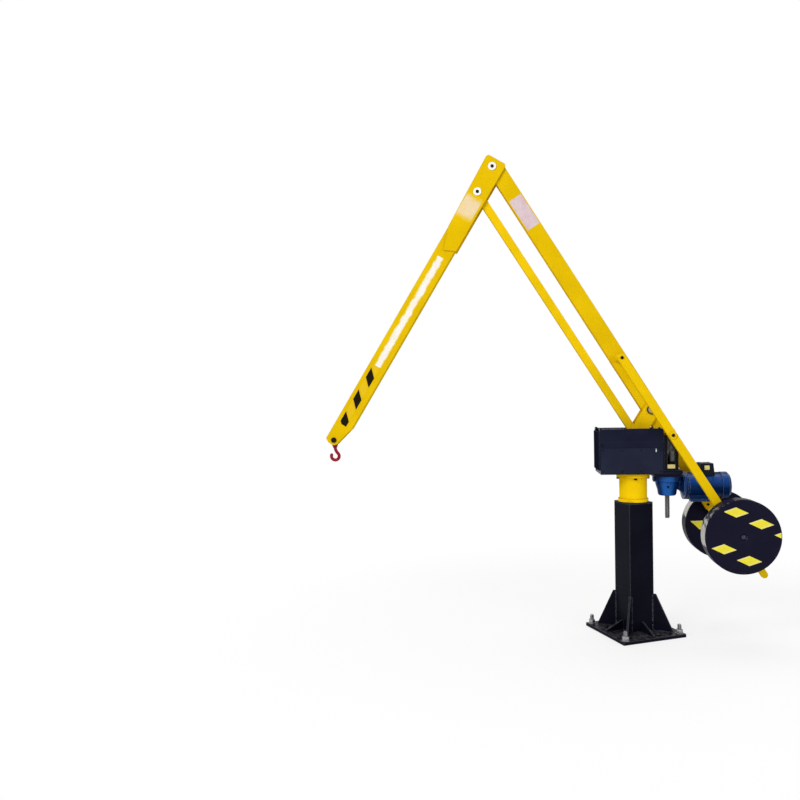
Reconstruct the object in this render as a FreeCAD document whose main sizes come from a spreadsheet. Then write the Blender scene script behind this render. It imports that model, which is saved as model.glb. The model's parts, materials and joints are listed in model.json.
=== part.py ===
import FreeCAD, Part
import os
import Sketcher

# Balance crane: a column bolted to the floor, a slewing head with a screw drive,
# and a jib of two long arms kept level by a short link and a tie bar.
# The origin is on the floor at the column's axis, +Z is up, the arms lie in the
# XZ plane with the hook towards -X and the counterweights towards +X.
# "Front" is the -Y side and "back" the +Y side.

doc = FreeCAD.newDocument("balance_crane")
sheet = doc.addObject("Spreadsheet::Sheet", "dims")

SIZES = {
    # floor plate, column and their gussets
    "plate_side": 434, "plate_thick": 20, "base_turn": 23.8,
    "anchor_circle": 268, "anchor_radius": 13,
    "column_side": 166, "column_wall": 8, "column_height": 783, "cap_thick": 8,
    "gusset_height": 225, "gusset_toe": 228, "gusset_nose": 14, "gusset_land": 14,
    "gusset_thick": 12,
    "rib_height": 62, "rib_toe": 205, "rib_nose": 10, "rib_thick": 10,
    # slewing neck
    "slew_gap": 0.3, "collar_radius": 91, "collar_height": 19,
    "neck_radius": 83.5, "neck_wall": 8, "neck_height": 130,
    "flange_radius": 100, "flange_thick": 25,
    # head: bed plate, guide rails, housings and covers
    "bed_thick": 25, "bed_left": 210, "bed_tail": 69, "bed_step": 6,
    "screw_offset": 206, "pivot_rise": 213.7,
    "box_left": 216, "slot_half": 78, "head_half": 123,
    "rail_height": 80, "rail_web": 7, "rail_flange": 8,
    "housing_wall": 5, "cover_thick": 3, "cover_inset": 3, "cover_drop": 36,
    "end_plate_thick": 6, "end_plate_height": 236,
    # vertical guides of the lifting carriage
    "cheek_proud": 4, "cheek_thick": 24, "cheek_wall": 20, "cheek_height": 214, "slot_floor": 12,
    "buffer_height": 23, "rear_tie_thick": 8, "rear_tie_height": 100,
    # drive
    "adapter_thick": 18, "adapter_reach": 94, "adapter_half": 95,
    "gear_flange_radius": 88, "gear_flange_thick": 30, "gear_radius": 58.5, "gear_height": 90,
    "gear_lip": 8, "worm_radius": 56, "worm_gap": 6, "motor_drop": 62,
    "motor_flange_radius": 84, "motor_flange_thick": 18,
    "bell_length": 10, "bell_radius": 68, "core_radius": 75, "core_length": 195,
    "fin_height": 7, "fin_root": 6, "fin_thick": 5, "fin_count": 20,
    "fan_length": 52, "fan_radius": 84, "fan_round": 14,
    "foot_length": 130, "foot_inner": 38, "foot_outer": 80, "foot_drop": 90, "foot_thick": 10,
    "foot_root": 48,
    "terminal_length": 94, "terminal_width": 100, "terminal_height": 79, "terminal_draft": 9,
    "terminal_base": 60, "terminal_start": 60, "terminal_gap": 0.3,
    # lifting carriage
    "screw_radius": 14.5, "screw_drop": 519, "screw_gap": 3.5,
    "fork_half": 38, "fork_thick": 12, "fork_radius": 32, "fork_floor": 60, "fork_base": 22,
    "slider_width": 44, "slider_low": 100, "slider_high": 30, "slide_gap": 0.3,
    "pivot_radius": 17, "pivot_head": 22, "pivot_head_thick": 7, "pivot_sleeve": 32, "sleeve_play": 9,
    # jib: two arms of one length, and the small parallelogram at its ends
    "arm_length": 1975, "arm_ratio": 11, "boom_angle": 57.9, "fore_angle": 58.7,
    "bearing_gap": 0.3, "pin_radius": 18, "pin_head": 25, "pin_head_thick": 6,
    "boom_depth": 100, "boom_half": 30, "boom_wall": 5, "boom_rise": 15, "boom_lead": 20,
    # counterweight bars, their slides and discs
    "bar_clear": 23, "bar_thick": 30, "bar_depth": 50, "bar_wall": 5,
    "bar_bolt": 550, "bar_reach": 565, "bar_bore": 330, "spacer_radius": 23,
    "slide_back": 29, "slide_tail": 306,
    "disc_lead": 129, "disc_radius": 217, "disc_thick": 100, "disc_gap": 4,
    "disc_chamfer": 4, "hub_radius": 21, "hub_recess": 6, "hub_bolt": 26,
    # forearm
    "fore_depth": 113, "fore_shift": 6.5, "fore_half": 35, "fore_wall": 5, "fore_start": 400,
    "tip_radius": 32, "tip_taper": 122, "tip_toe": 14, "tip_nose": 20, "tip_slot": 16, "tip_slot_depth": 95,
    "elbow_thick": 10, "elbow_top": 52, "elbow_outer": 65, "elbow_inner": 72, "elbow_lap": 9,
    "elbow_shoulder": 450, "elbow_tongue": 596, "elbow_heel": 562, "elbow_corner": 12,
    # short link, tie bar and guide rollers
    "link_inner": 36, "link_thick": 10, "link_half": 46, "link_head": 30, "link_head_thick": 8,
    "tie_depth": 48, "tie_half": 22, "tie_eye": 28,
    "roller_play": 2, "roller_width": 30, "axle_radius": 14, "axle_inner": 58,
    # hook
    "hook_pin_radius": 11, "hook_pin_head": 17, "hook_eye": 26, "hook_eye_half": 12,
    "hook_rod": 10, "hook_bowl": 25, "hook_bowl_drop": 104, "hook_turn": 45, "hook_wrap": 245,
    "hook_flare": 28, "hook_flare_end": 52,
}
for row, (alias, value) in enumerate(SIZES.items(), start=1):
    sheet.set("A%d" % row, alias)
    sheet.set("B%d" % row, str(value))
    sheet.setAlias("B%d" % row, alias)
doc.recompute()

nodes = []
COUNT = [0]


def fresh_name(kind):
    """A new internal name for a building block of a sub-part."""
    COUNT[0] += 1
    return "%s_%03d" % (kind, COUNT[0])


def number(expression):
    """The present value of an expression on the sheet."""
    value = sheet.evalExpression(expression)
    return float(getattr(value, "Value", value))


def bind(item, **expressions):
    for path, expression in expressions.items():
        item.setExpression(path, expression)
    return item


def move(item, x="0", y="0", z="0", axis=None, angle=None):
    """Gives an item its place, and a turn about one axis, from expressions."""
    if axis is not None:
        turn = number(angle)
        item.Placement = FreeCAD.Placement(FreeCAD.Vector(), FreeCAD.Rotation(FreeCAD.Vector(*axis), turn))
        item.setExpression("Placement.Rotation.Angle", angle)
    for name, expression in (("x", x), ("y", y), ("z", z)):
        item.setExpression("Placement.Base." + name, expression)
    return item


def block(length, width, height, x="0", y="0", z="0"):
    item = doc.addObject("Part::Box", fresh_name("block"))
    bind(item, Length=length, Width=width, Height=height)
    return move(item, x, y, z)


AXES = {"x": ((0, 1, 0), "90"), "y": ((1, 0, 0), "-90"), "z": (None, None)}


def rod(radius, length, along, x="0", y="0", z="0"):
    """A round bar that starts at a point and runs along +X, +Y or +Z."""
    item = doc.addObject("Part::Cylinder", fresh_name("rod"))
    bind(item, Radius=radius, Height=length)
    axis, angle = AXES[along]
    return move(item, x, y, z, axis, angle)


def cross_rod(radius, half, x="0", z="0"):
    """A round bar across the arms, from -half to +half along Y."""
    return rod(radius, "2*(%s)" % half, "y", x, "-(%s)" % half, z)


def fuse(*items):
    item = doc.addObject("Part::MultiFuse", fresh_name("joined"))
    item.Shapes = list(items)
    return item


def cut(base, *tools):
    item = doc.addObject("Part::Cut", fresh_name("cut"))
    item.Base = base
    item.Tool = tools[0] if len(tools) == 1 else fuse(*tools)
    return item


def group(*items):
    item = doc.addObject("Part::Compound", fresh_name("set"))
    item.Links = list(items)
    return item


def node(item, label):
    """Names a finished sub-part."""
    item.Label = label
    nodes.append(item)
    return item


def plane_of(body, role):
    return next(f for f in body.Origin.OriginFeatures if f.Role == role)


def sketch_on(body, role):
    sketch = body.newObject("Sketcher::SketchObject", fresh_name("sketch"))
    sketch.AttachmentSupport = [(plane_of(body, role), "")]
    sketch.MapMode = "FlatFace"
    return sketch


def outline(sketch, corners):
    """A closed outline through corners given as pairs of expressions."""
    points = [FreeCAD.Vector(number(u), number(v), 0) for u, v in corners]
    count = len(points)
    first = sketch.GeometryCount
    for i in range(count):
        sketch.addGeometry(Part.LineSegment(points[i], points[(i + 1) % count]), False)
    for i in range(count):
        follower = first + (i + 1) % count
        sketch.addConstraint(Sketcher.Constraint("Coincident", first + i, 2, follower, 1))
    for i, (u, v) in enumerate(corners):
        for kind, expression, value in (("DistanceX", u, points[i].x), ("DistanceY", v, points[i].y)):
            index = sketch.addConstraint(Sketcher.Constraint(kind, -1, 1, first + i, 1, value))
            sketch.setExpression("Constraints[%d]" % index, expression)
    return sketch


def plate(corners, thickness, role="XZ_Plane"):
    """A flat plate with a straight-sided outline; from the XZ plane it grows towards -Y."""
    body = doc.addObject("PartDesign::Body", fresh_name("plate"))
    sketch = outline(sketch_on(body, role), corners)
    pad = body.newObject("PartDesign::Pad", fresh_name("pad"))
    pad.Profile = sketch
    bind(pad, Length=thickness)
    return body


def turned(corners, axis="V_Axis"):
    """A turned piece: an outline in the XZ plane spun about its own Z or X axis."""
    body = doc.addObject("PartDesign::Body", fresh_name("turned"))
    sketch = outline(sketch_on(body, "XZ_Plane"), corners)
    spin = body.newObject("PartDesign::Revolution", fresh_name("spin"))
    spin.Profile = sketch
    spin.ReferenceAxis = (sketch, [axis])
    spin.Angle = 360
    return body


# Levels and pivots that several pieces share
COLUMN_TOP = "(dims.plate_thick+dims.column_height+dims.cap_thick)"
COLLAR_TOP = "(%s+dims.slew_gap+dims.collar_height)" % COLUMN_TOP
NECK_TOP = "(%s+dims.neck_height)" % COLLAR_TOP
BED_BOTTOM = "(%s+dims.flange_thick)" % NECK_TOP
BED_TOP = "(%s+dims.bed_thick)" % BED_BOTTOM
PIVOT_X = "dims.screw_offset"
PIVOT_Z = "(%s+dims.pivot_rise)" % BED_TOP
LINK = "(dims.arm_length/dims.arm_ratio)"
ELBOW_X = "(%s-dims.arm_length*cos(dims.boom_angle))" % PIVOT_X
ELBOW_Z = "(%s+dims.arm_length*sin(dims.boom_angle))" % PIVOT_Z
LINK_X = "(%s-%s*cos(dims.boom_angle))" % (PIVOT_X, LINK)
LINK_Z = "(%s+%s*sin(dims.boom_angle))" % (PIVOT_Z, LINK)
GUIDE_X = "(%s-%s*cos(dims.fore_angle))" % (LINK_X, LINK)
GUIDE_Z = "(%s-%s*sin(dims.fore_angle))" % (LINK_Z, LINK)
TIE_X = "(%s-%s*cos(dims.fore_angle))" % (ELBOW_X, LINK)
TIE_Z = "(%s-%s*sin(dims.fore_angle))" % (ELBOW_Z, LINK)
HOOK_X = "(%s-dims.arm_length*cos(dims.fore_angle))" % ELBOW_X
HOOK_Z = "(%s-dims.arm_length*sin(dims.fore_angle))" % ELBOW_Z
BED_HALF = "(dims.head_half-dims.bed_step)"
CHEEK_OUTER = "(dims.head_half+dims.cheek_proud)"
CHEEK_INNER = "(%s-dims.cheek_thick)" % CHEEK_OUTER
CHEEK_LEFT = "(%s-dims.slider_width/2-dims.slide_gap-dims.cheek_wall)" % PIVOT_X
BOX_RIGHT = "(%s-dims.slide_gap)" % CHEEK_LEFT
BAR_INNER = "(%s+dims.bar_clear)" % CHEEK_OUTER
BAR_OUTER = "(%s+dims.bar_thick)" % BAR_INNER
DISC_STATION = "(dims.bar_reach+dims.disc_lead)"
BOOM_TURN = "dims.boom_angle"
FORE_TURN = "(180-dims.fore_angle)"
Y_AXIS = (0, 1, 0)
Z_AXIS = (0, 0, 1)


def on_boom(item):
    """Places a piece drawn with the boom's foot as origin and +X down the boom."""
    return move(item, PIVOT_X, "0", PIVOT_Z, Y_AXIS, BOOM_TURN)


def on_forearm(item):
    """Places a piece drawn with the elbow as origin and +X towards the hook."""
    return move(item, ELBOW_X, "0", ELBOW_Z, Y_AXIS, FORE_TURN)


# Floor plate, column and gussets, turned together about the column's axis
def base():
    half = "dims.plate_side/2"
    slab = block("dims.plate_side", "dims.plate_side", "dims.plate_thick", "-" + half, "-" + half)
    holes = []
    for sign_x in ("", "-"):
        for sign_y in ("", "-"):
            spot = "dims.anchor_circle*sqrt(0.5)"
            holes.append(rod("dims.anchor_radius", "3*dims.plate_thick", "z",
                             sign_x + spot, sign_y + spot, "-dims.plate_thick"))
    node(move(cut(slab, *holes), axis=Z_AXIS, angle="dims.base_turn"), "base_plate")

    side = "dims.column_side"
    bore = "(dims.column_side-2*dims.column_wall)"
    outer = block(side, side, "dims.column_height", "-%s/2" % side, "-%s/2" % side, "dims.plate_thick")
    inner = block(bore, bore, "dims.column_height+2*dims.plate_thick", "-%s/2" % bore, "-%s/2" % bore, "0")
    node(move(cut(outer, inner), axis=Z_AXIS, angle="dims.base_turn"), "column")
    cap = block(side, side, "dims.cap_thick", "-%s/2" % side, "-%s/2" % side,
                "dims.plate_thick+dims.column_height")
    node(move(group(cap), axis=Z_AXIS, angle="dims.base_turn"), "column_cap")


def stiffeners(label, reach, height, nose, land, thick, first_turn, notch):
    """Four upright plates round the column: drawn from the axis, trimmed by the column."""
    start = "dims.column_side/4"
    foot = "dims.plate_thick"
    corners = [(start, foot), (reach, foot), (reach, "%s+%s" % (foot, nose)),
               ("%s+%s" % (notch, land), "%s+%s" % (foot, height)), (start, "%s+%s" % (foot, height))]
    pieces = []
    for quarter in range(4):
        fin = move(plate(corners, thick), y="%s/2" % thick)
        side = "dims.column_side"
        core = block(side, side, "dims.column_height", "-%s/2" % side, "-%s/2" % side, foot)
        fin_trim = cut(fin, move(group(core), axis=Z_AXIS, angle="-(%s)" % first_turn))
        pieces.append(move(fin_trim, axis=Z_AXIS, angle="dims.base_turn+%s+%d" % (first_turn, 90 * quarter)))
    node(group(*pieces), label)


# Slewing neck: collar on the column's cap, tube and flange under the head
def neck():
    def ring(label, radius, bore, height, z):
        node(cut(rod(radius, height, "z", z=z),
                 rod(bore, "3*(%s)" % height, "z", z="%s-(%s)" % (z, height))), label)
    bore = "dims.neck_radius-dims.neck_wall"
    ring("neck_collar", "dims.collar_radius", bore, "dims.collar_height", COLUMN_TOP + "+dims.slew_gap")
    ring("neck_tube", "dims.neck_radius", bore, "dims.neck_height", COLLAR_TOP)
    ring("neck_flange", "dims.flange_radius", bore, "dims.flange_thick", NECK_TOP)


def screw_hole(x=PIVOT_X):
    return rod("dims.screw_radius+dims.screw_gap", "2*dims.screw_drop", "z", x, "0",
               "%s-dims.screw_drop" % BED_BOTTOM)


# Head: bed plate, a guide rail and a housing on each side of the slot for the arms
def head():
    bed = block("dims.bed_left+dims.screw_offset+dims.bed_tail", "2*" + BED_HALF, "dims.bed_thick",
                "-dims.bed_left", "-" + BED_HALF, BED_BOTTOM)
    node(cut(bed, screw_hole()), "bed_plate")

    length = "(dims.box_left+%s)" % BOX_RIGHT
    depth = "(dims.head_half-dims.slot_half)"
    rail_bottom = "(%s-dims.rail_height/2)" % GUIDE_Z
    housing_height = "(%s-%s)" % (rail_bottom, BED_TOP)
    cover_foot = "(%s+dims.cover_inset)" % BED_BOTTOM
    cover_height = "(%s-dims.cover_drop-%s)" % (rail_bottom, cover_foot)
    covers = []
    for label, side in (("front", -1), ("back", 1)):
        # the rail's channel is open towards the slot
        web = "%s*dims.head_half" % side
        inner = "%s*(dims.head_half-dims.rail_web)" % side
        lip = "%s*dims.slot_half" % side
        low, high = "-dims.rail_height/2", "dims.rail_height/2"
        low_in, high_in = low + "+dims.rail_flange", high + "-dims.rail_flange"
        channel = [(web, low), (lip, low), (lip, low_in), (inner, low_in),
                   (inner, high_in), (lip, high_in), (lip, high), (web, high)]
        rail = plate(channel, length, "YZ_Plane")
        node(move(rail, "-dims.box_left", "0", GUIDE_Z), label + "_guide_rail")

        start = "-dims.head_half" if side < 0 else "dims.slot_half"
        shell = block(length, depth, housing_height, "-dims.box_left", start, BED_TOP)
        wall = "dims.housing_wall"
        hollow = block("%s-2*%s" % (length, wall), "%s-2*%s" % (depth, wall), housing_height,
                       "-dims.box_left+" + wall, "%s+%s" % (start, wall), "%s-%s" % (BED_TOP, wall))
        node(cut(shell, hollow), label + "_housing")

        face = "-dims.head_half-dims.cover_thick" if side < 0 else "dims.head_half"
        covers.append(block(length + "-2*dims.cover_inset", "dims.cover_thick", cover_height,
                            "-dims.box_left+dims.cover_inset", face, cover_foot))
    node(group(*covers), "side_covers")
    node(block("dims.end_plate_thick", "2*dims.head_half", "dims.end_plate_height",
               "-dims.box_left-dims.end_plate_thick", "-dims.head_half", BED_TOP), "left_end_plate")


# Vertical guides: a slotted cheek each side, nylon buffers in the slots, a rear tie
def carriage_guides():
    width = "(dims.slider_width+2*dims.slide_gap+2*dims.cheek_wall)"
    slot = "(dims.slider_width+2*dims.slide_gap)"
    cheeks, buffers = [], []
    for side in (-1, 1):
        face = "-" + CHEEK_OUTER if side < 0 else CHEEK_INNER
        cheek = block(width, "dims.cheek_thick", "dims.cheek_height",
                      "%s-%s/2" % (PIVOT_X, width), face, BED_TOP)
        gap = block(slot, "3*dims.cheek_thick", "dims.cheek_height",
                    "%s-%s/2" % (PIVOT_X, slot), "%s-dims.cheek_thick" % face,
                    "%s+dims.slot_floor" % BED_TOP)
        cheeks.append(cut(cheek, gap))
        buffers.append(block(slot, "dims.cheek_thick", "dims.buffer_height",
                             "%s-%s/2" % (PIVOT_X, slot), face, "%s+dims.slot_floor" % BED_TOP))
    node(cheeks[0], "front_guide_cheek")
    node(cheeks[1], "back_guide_cheek")
    node(group(*buffers), "slot_buffers")
    tie_x = "%s+%s/2-dims.rear_tie_thick" % (PIVOT_X, width)
    node(block("dims.rear_tie_thick", "2*" + CHEEK_INNER, "dims.rear_tie_height",
               tie_x, "-" + CHEEK_INNER, BED_TOP), "rear_tie_plate")


# Drive: worm gear under the bed plate, finned motor on two feet, fan cover and terminal box
def drive():
    adapter_bottom = "(%s-dims.adapter_thick)" % BED_BOTTOM
    adapter = block("dims.adapter_reach+dims.bed_tail", "2*dims.adapter_half", "dims.adapter_thick",
                    "%s-dims.adapter_reach" % PIVOT_X, "-dims.adapter_half", adapter_bottom)
    node(cut(adapter, screw_hole()), "gear_adapter")

    bore = "dims.screw_radius+dims.screw_gap"
    flange_z = "-dims.gear_flange_thick"
    foot_z = "-dims.gear_flange_thick-dims.gear_height"
    housing = turned([(bore, "0"), ("dims.gear_flange_radius", "0"), ("dims.gear_flange_radius", flange_z),
                      ("dims.gear_radius+dims.gear_lip", flange_z),
                      ("dims.gear_radius", "%s-dims.gear_lip" % flange_z),
                      ("dims.gear_radius", "%s+dims.gear_lip" % foot_z),
                      ("dims.gear_radius-dims.gear_lip", foot_z), (bore, foot_z)])
    move(housing, PIVOT_X, "0", adapter_bottom)
    motor_z = "(%s-dims.motor_drop)" % adapter_bottom
    worm_reach = "(dims.gear_flange_radius+dims.worm_gap)"
    worm = rod("dims.worm_radius", worm_reach, "x", PIVOT_X, "0", motor_z)
    node(cut(fuse(housing, worm), screw_hole()), "gear_housing")

    flange_x = "(%s+%s)" % (PIVOT_X, worm_reach)
    flange = turned([("0", "0"), ("0", "dims.motor_flange_radius"),
                     ("dims.motor_flange_thick", "dims.motor_flange_radius"),
                     ("dims.motor_flange_thick", "dims.bell_radius"),
                     ("dims.motor_flange_thick+dims.bell_length", "dims.core_radius"),
                     ("dims.motor_flange_thick+dims.bell_length", "0")], "H_Axis")
    node(move(flange, flange_x, "0", motor_z), "motor_flange")

    body = doc.addObject("PartDesign::Body", fresh_name("motor"))
    core = sketch_on(body, "YZ_Plane")
    circle = Part.Circle(FreeCAD.Vector(), FreeCAD.Vector(0, 0, 1), number("dims.core_radius"))
    core.addGeometry(circle, False)
    core.addConstraint(Sketcher.Constraint("Coincident", 0, 3, -1, 1))
    index = core.addConstraint(Sketcher.Constraint("Radius", 0, number("dims.core_radius")))
    core.setExpression("Constraints[%d]" % index, "dims.core_radius")
    barrel = body.newObject("PartDesign::Pad", fresh_name("barrel"))
    barrel.Profile = core
    bind(barrel, Length="dims.core_length")
    doc.recompute()
    half = "dims.fin_thick/2"
    low, high = "dims.core_radius-dims.fin_root", "dims.core_radius+dims.fin_height"
    section = [("-" + half, low), (half, low), (half, high), ("-" + half, high)]
    rib = outline(sketch_on(body, "YZ_Plane"), section)
    fin = body.newObject("PartDesign::Pad", fresh_name("fin"))
    fin.Profile = rib
    bind(fin, Length="dims.core_length")
    fins = body.newObject("PartDesign::PolarPattern", fresh_name("fins"))
    fins.Originals = [fin]
    fins.Axis = (core, ["N_Axis"])
    fins.Angle = 360
    bind(fins, Occurrences="dims.fin_count")
    foot_in = "dims.foot_inner"
    web = "(%s+dims.foot_thick)" % foot_in
    sole, upper = "-dims.foot_drop", "-dims.foot_drop+dims.foot_thick"
    feet_outline = sketch_on(body, "YZ_Plane")
    for side in ("", "-"):
        bracket = [(foot_in, "-dims.foot_root"), (foot_in, sole), ("dims.foot_outer", sole),
                   ("dims.foot_outer", upper), (web, upper), (web, "-dims.foot_root")]
        outline(feet_outline, [(side + across, height) for across, height in bracket])
    feet = body.newObject("PartDesign::Pad", fresh_name("feet"))
    feet.Profile = feet_outline
    bind(feet, Length="dims.foot_length")
    body.Tip = feet
    core_x = "(%s+dims.motor_flange_thick+dims.bell_length)" % flange_x
    node(move(body, core_x, "0", motor_z), "motor_body")

    fan = turned([("0", "0"), ("0", "dims.fan_radius"), ("dims.fan_length-dims.fan_round", "dims.fan_radius"),
                  ("dims.fan_length", "dims.fan_radius-dims.fan_round"), ("dims.fan_length", "0")], "H_Axis")
    node(move(fan, "%s+dims.core_length" % core_x, "0", motor_z), "fan_cover")

    box_x = "%s+dims.terminal_start" % core_x
    draft = "dims.terminal_draft"
    lid = plate([("0", "0"), ("dims.terminal_length", "0"),
                 ("dims.terminal_length-" + draft, "dims.terminal_height"), (draft, "dims.terminal_height")],
                "dims.terminal_width")
    move(lid, box_x, "dims.terminal_width/2", "%s+dims.terminal_base" % motor_z)
    saddle = rod("dims.core_radius+dims.fin_height+dims.terminal_gap", "2*dims.terminal_length", "x",
                 "%s-dims.terminal_length/2" % box_x, "0", motor_z)
    node(cut(lid, saddle), "terminal_box")


# Lifting carriage: fork round the boom's foot, slide blocks in the cheeks, lead screw
def carriage():
    floor_top = "(%s-dims.fork_floor)" % PIVOT_Z
    floor_bottom = "(%s-dims.fork_base)" % floor_top
    outer = "(dims.fork_half+dims.fork_thick)"
    width = "2*dims.fork_radius"
    left = "%s-dims.fork_radius" % PIVOT_X
    pieces = [block(width, "2*" + outer, "dims.fork_base", left, "-" + outer, floor_bottom)]
    for start in ("-" + outer, "dims.fork_half"):
        pieces.append(block(width, "dims.fork_thick", "dims.fork_floor+dims.fork_base",
                            left, start, floor_bottom))
        pieces.append(rod("dims.fork_radius", "dims.fork_thick", "y", PIVOT_X, start, PIVOT_Z))
    hole = cross_rod("dims.pivot_radius+dims.bearing_gap", outer + "+dims.fork_thick", PIVOT_X, PIVOT_Z)
    node(cut(fuse(*pieces), hole), "carriage_fork")

    sliders = []
    for start in ("-" + CHEEK_OUTER, CHEEK_INNER):
        slider = block("dims.slider_width", "dims.cheek_thick", "dims.slider_low+dims.slider_high",
                       "%s-dims.slider_width/2" % PIVOT_X, start, "%s-dims.slider_low" % PIVOT_Z)
        sliders.append(cut(slider, cross_rod("dims.pivot_radius+dims.bearing_gap",
                                             "2*" + CHEEK_OUTER, PIVOT_X, PIVOT_Z)))
    node(group(*sliders), "slide_blocks")
    node(rod("dims.screw_radius", "dims.screw_drop-dims.fork_floor-dims.fork_base", "z", PIVOT_X, "0",
             "%s-dims.screw_drop" % PIVOT_Z), "lead_screw")


# Pivot pin of the boom's foot, through fork, slide blocks and counterweight bars,
# with a thick sleeve beside each leg of the fork
def pivot_pin():
    reach = "(%s+dims.bearing_gap)" % BAR_OUTER
    heads = [rod("dims.pivot_head", "dims.pivot_head_thick", "y", PIVOT_X, start, PIVOT_Z)
             for start in (reach, "-%s-dims.pivot_head_thick" % reach)]
    fork_side = "(dims.fork_half+dims.fork_thick+dims.bearing_gap)"
    length = "(%s-dims.sleeve_play-%s)" % (CHEEK_INNER, fork_side)
    sleeves = [rod("dims.pivot_sleeve", length, "y", PIVOT_X, start, PIVOT_Z)
               for start in (fork_side, "-%s-%s" % (fork_side, length))]
    pin = cross_rod("dims.pivot_radius", reach, PIVOT_X, PIVOT_Z)
    node(fuse(pin, *heads, *sleeves), "boom_pin")


# Boom: box beam with an eye at the elbow, at the link and at its foot
def boom():
    half_depth = "dims.boom_depth/2"

    # the beam climbs a little above the line through its pivots, towards the elbow
    def box(top, foot, half_width, half_height):
        climb = "dims.boom_rise/dims.arm_length"
        corners = [("-" + station, "%s%s+%s*%s" % (sign, half_height, station, climb))
                   for station, sign in ((top, "-"), (foot, "-"), (foot, ""), (top, ""))]
        return move(plate(corners, "2*" + half_width), y=half_width)

    beam = box("(dims.arm_length-dims.boom_lead)", "0", "dims.boom_half", half_depth)
    eyes = [cross_rod(half_depth, "dims.fore_half-dims.bearing_gap", "-dims.arm_length"),
            cross_rod("dims.link_half", "dims.link_inner-dims.bearing_gap", "-" + LINK),
            cross_rod(half_depth, "dims.fork_half-dims.bearing_gap", "0")]
    through = "2*dims.fork_half"
    holes = [cross_rod("dims.pin_radius+dims.bearing_gap", through, "-dims.arm_length"),
             cross_rod("dims.pin_radius+dims.bearing_gap", through, "-" + LINK),
             cross_rod("dims.pivot_radius+dims.bearing_gap", through, "0")]
    wall = "dims.boom_wall"
    core = box("(dims.arm_length-dims.boom_depth)", "(%s+%s+dims.link_half)" % (LINK, half_depth),
               "(dims.boom_half-%s)" % wall, "(%s-%s)" % (half_depth, wall))
    node(on_boom(cut(fuse(beam, *eyes), core, *holes)), "boom")

    spacers = [rod("dims.spacer_radius", "%s-dims.boom_half" % BAR_INNER, "y", "-dims.bar_bolt", start)
               for start in ("-" + BAR_INNER, "dims.boom_half")]
    node(on_boom(group(*spacers)), "bar_spacers")


# Counterweights: on each side a bar tube, a slide in its open end, and a disc
def counterweights():
    half_depth = "dims.bar_depth/2"
    bore = "(dims.bar_depth-2*dims.bar_wall)"
    for label, side in (("front", -1), ("back", 1)):
        start = "-" + BAR_OUTER if side < 0 else BAR_INNER
        bar = fuse(block("dims.bar_bolt+dims.bar_reach", "dims.bar_thick", "dims.bar_depth",
                         "-dims.bar_bolt", start, "-" + half_depth),
                   rod(half_depth, "dims.bar_thick", "y", "-dims.bar_bolt", start))
        mouth = block("2*dims.bar_bore", "dims.bar_thick-2*dims.bar_wall", bore,
                      "dims.bar_reach-dims.bar_bore", "%s+dims.bar_wall" % start, "-%s/2" % bore)
        eye = cross_rod("dims.pivot_radius+dims.bearing_gap", "2*" + BAR_OUTER, "0")
        node(on_boom(cut(bar, mouth, eye)), label + "_counterweight_bar")

        gap = "dims.slide_gap"
        depth = "(%s-2*%s)" % (bore, gap)
        thick = "(dims.bar_thick-2*dims.bar_wall-2*%s)" % gap
        slide_y = "%s+dims.bar_wall+%s" % (start, gap)
        slide_x = "(dims.bar_reach-dims.bar_bore+dims.slide_back)"
        round_x = "(%s+dims.slide_tail-%s/2)" % (DISC_STATION, depth)
        slide = fuse(block("%s-%s" % (round_x, slide_x), thick, depth, slide_x, slide_y, "-%s/2" % depth),
                     rod("%s/2" % depth, thick, "y", round_x, slide_y))
        node(on_boom(slide), label + "_counterweight_slide")

        # spun upright, then laid over so that its hub meets the slide and its face looks outwards
        seat = "-(dims.disc_gap+dims.bar_wall+%s)" % gap
        chamfer = "dims.disc_chamfer"
        boss = "dims.hub_bolt+dims.hub_radius"
        recess = "dims.disc_thick-dims.hub_recess"
        disc = turned([("0", seat), (boss, seat), (boss, "0"),
                       ("dims.disc_radius-" + chamfer, "0"), ("dims.disc_radius", chamfer),
                       ("dims.disc_radius", "dims.disc_thick-" + chamfer),
                       ("dims.disc_radius-" + chamfer, "dims.disc_thick"),
                       ("dims.hub_radius", "dims.disc_thick"), ("dims.hub_radius", recess), ("0", recess)])
        face = "%d*(%s+dims.disc_gap)" % (side, BAR_OUTER)
        disc_x = "%s+%s*cos(dims.boom_angle)" % (PIVOT_X, DISC_STATION)
        disc_z = "%s-%s*sin(dims.boom_angle)" % (PIVOT_Z, DISC_STATION)
        node(move(disc, disc_x, face, disc_z, (1, 0, 0), "90" if side < 0 else "-90"),
             label + "_counterweight_disc")


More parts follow.
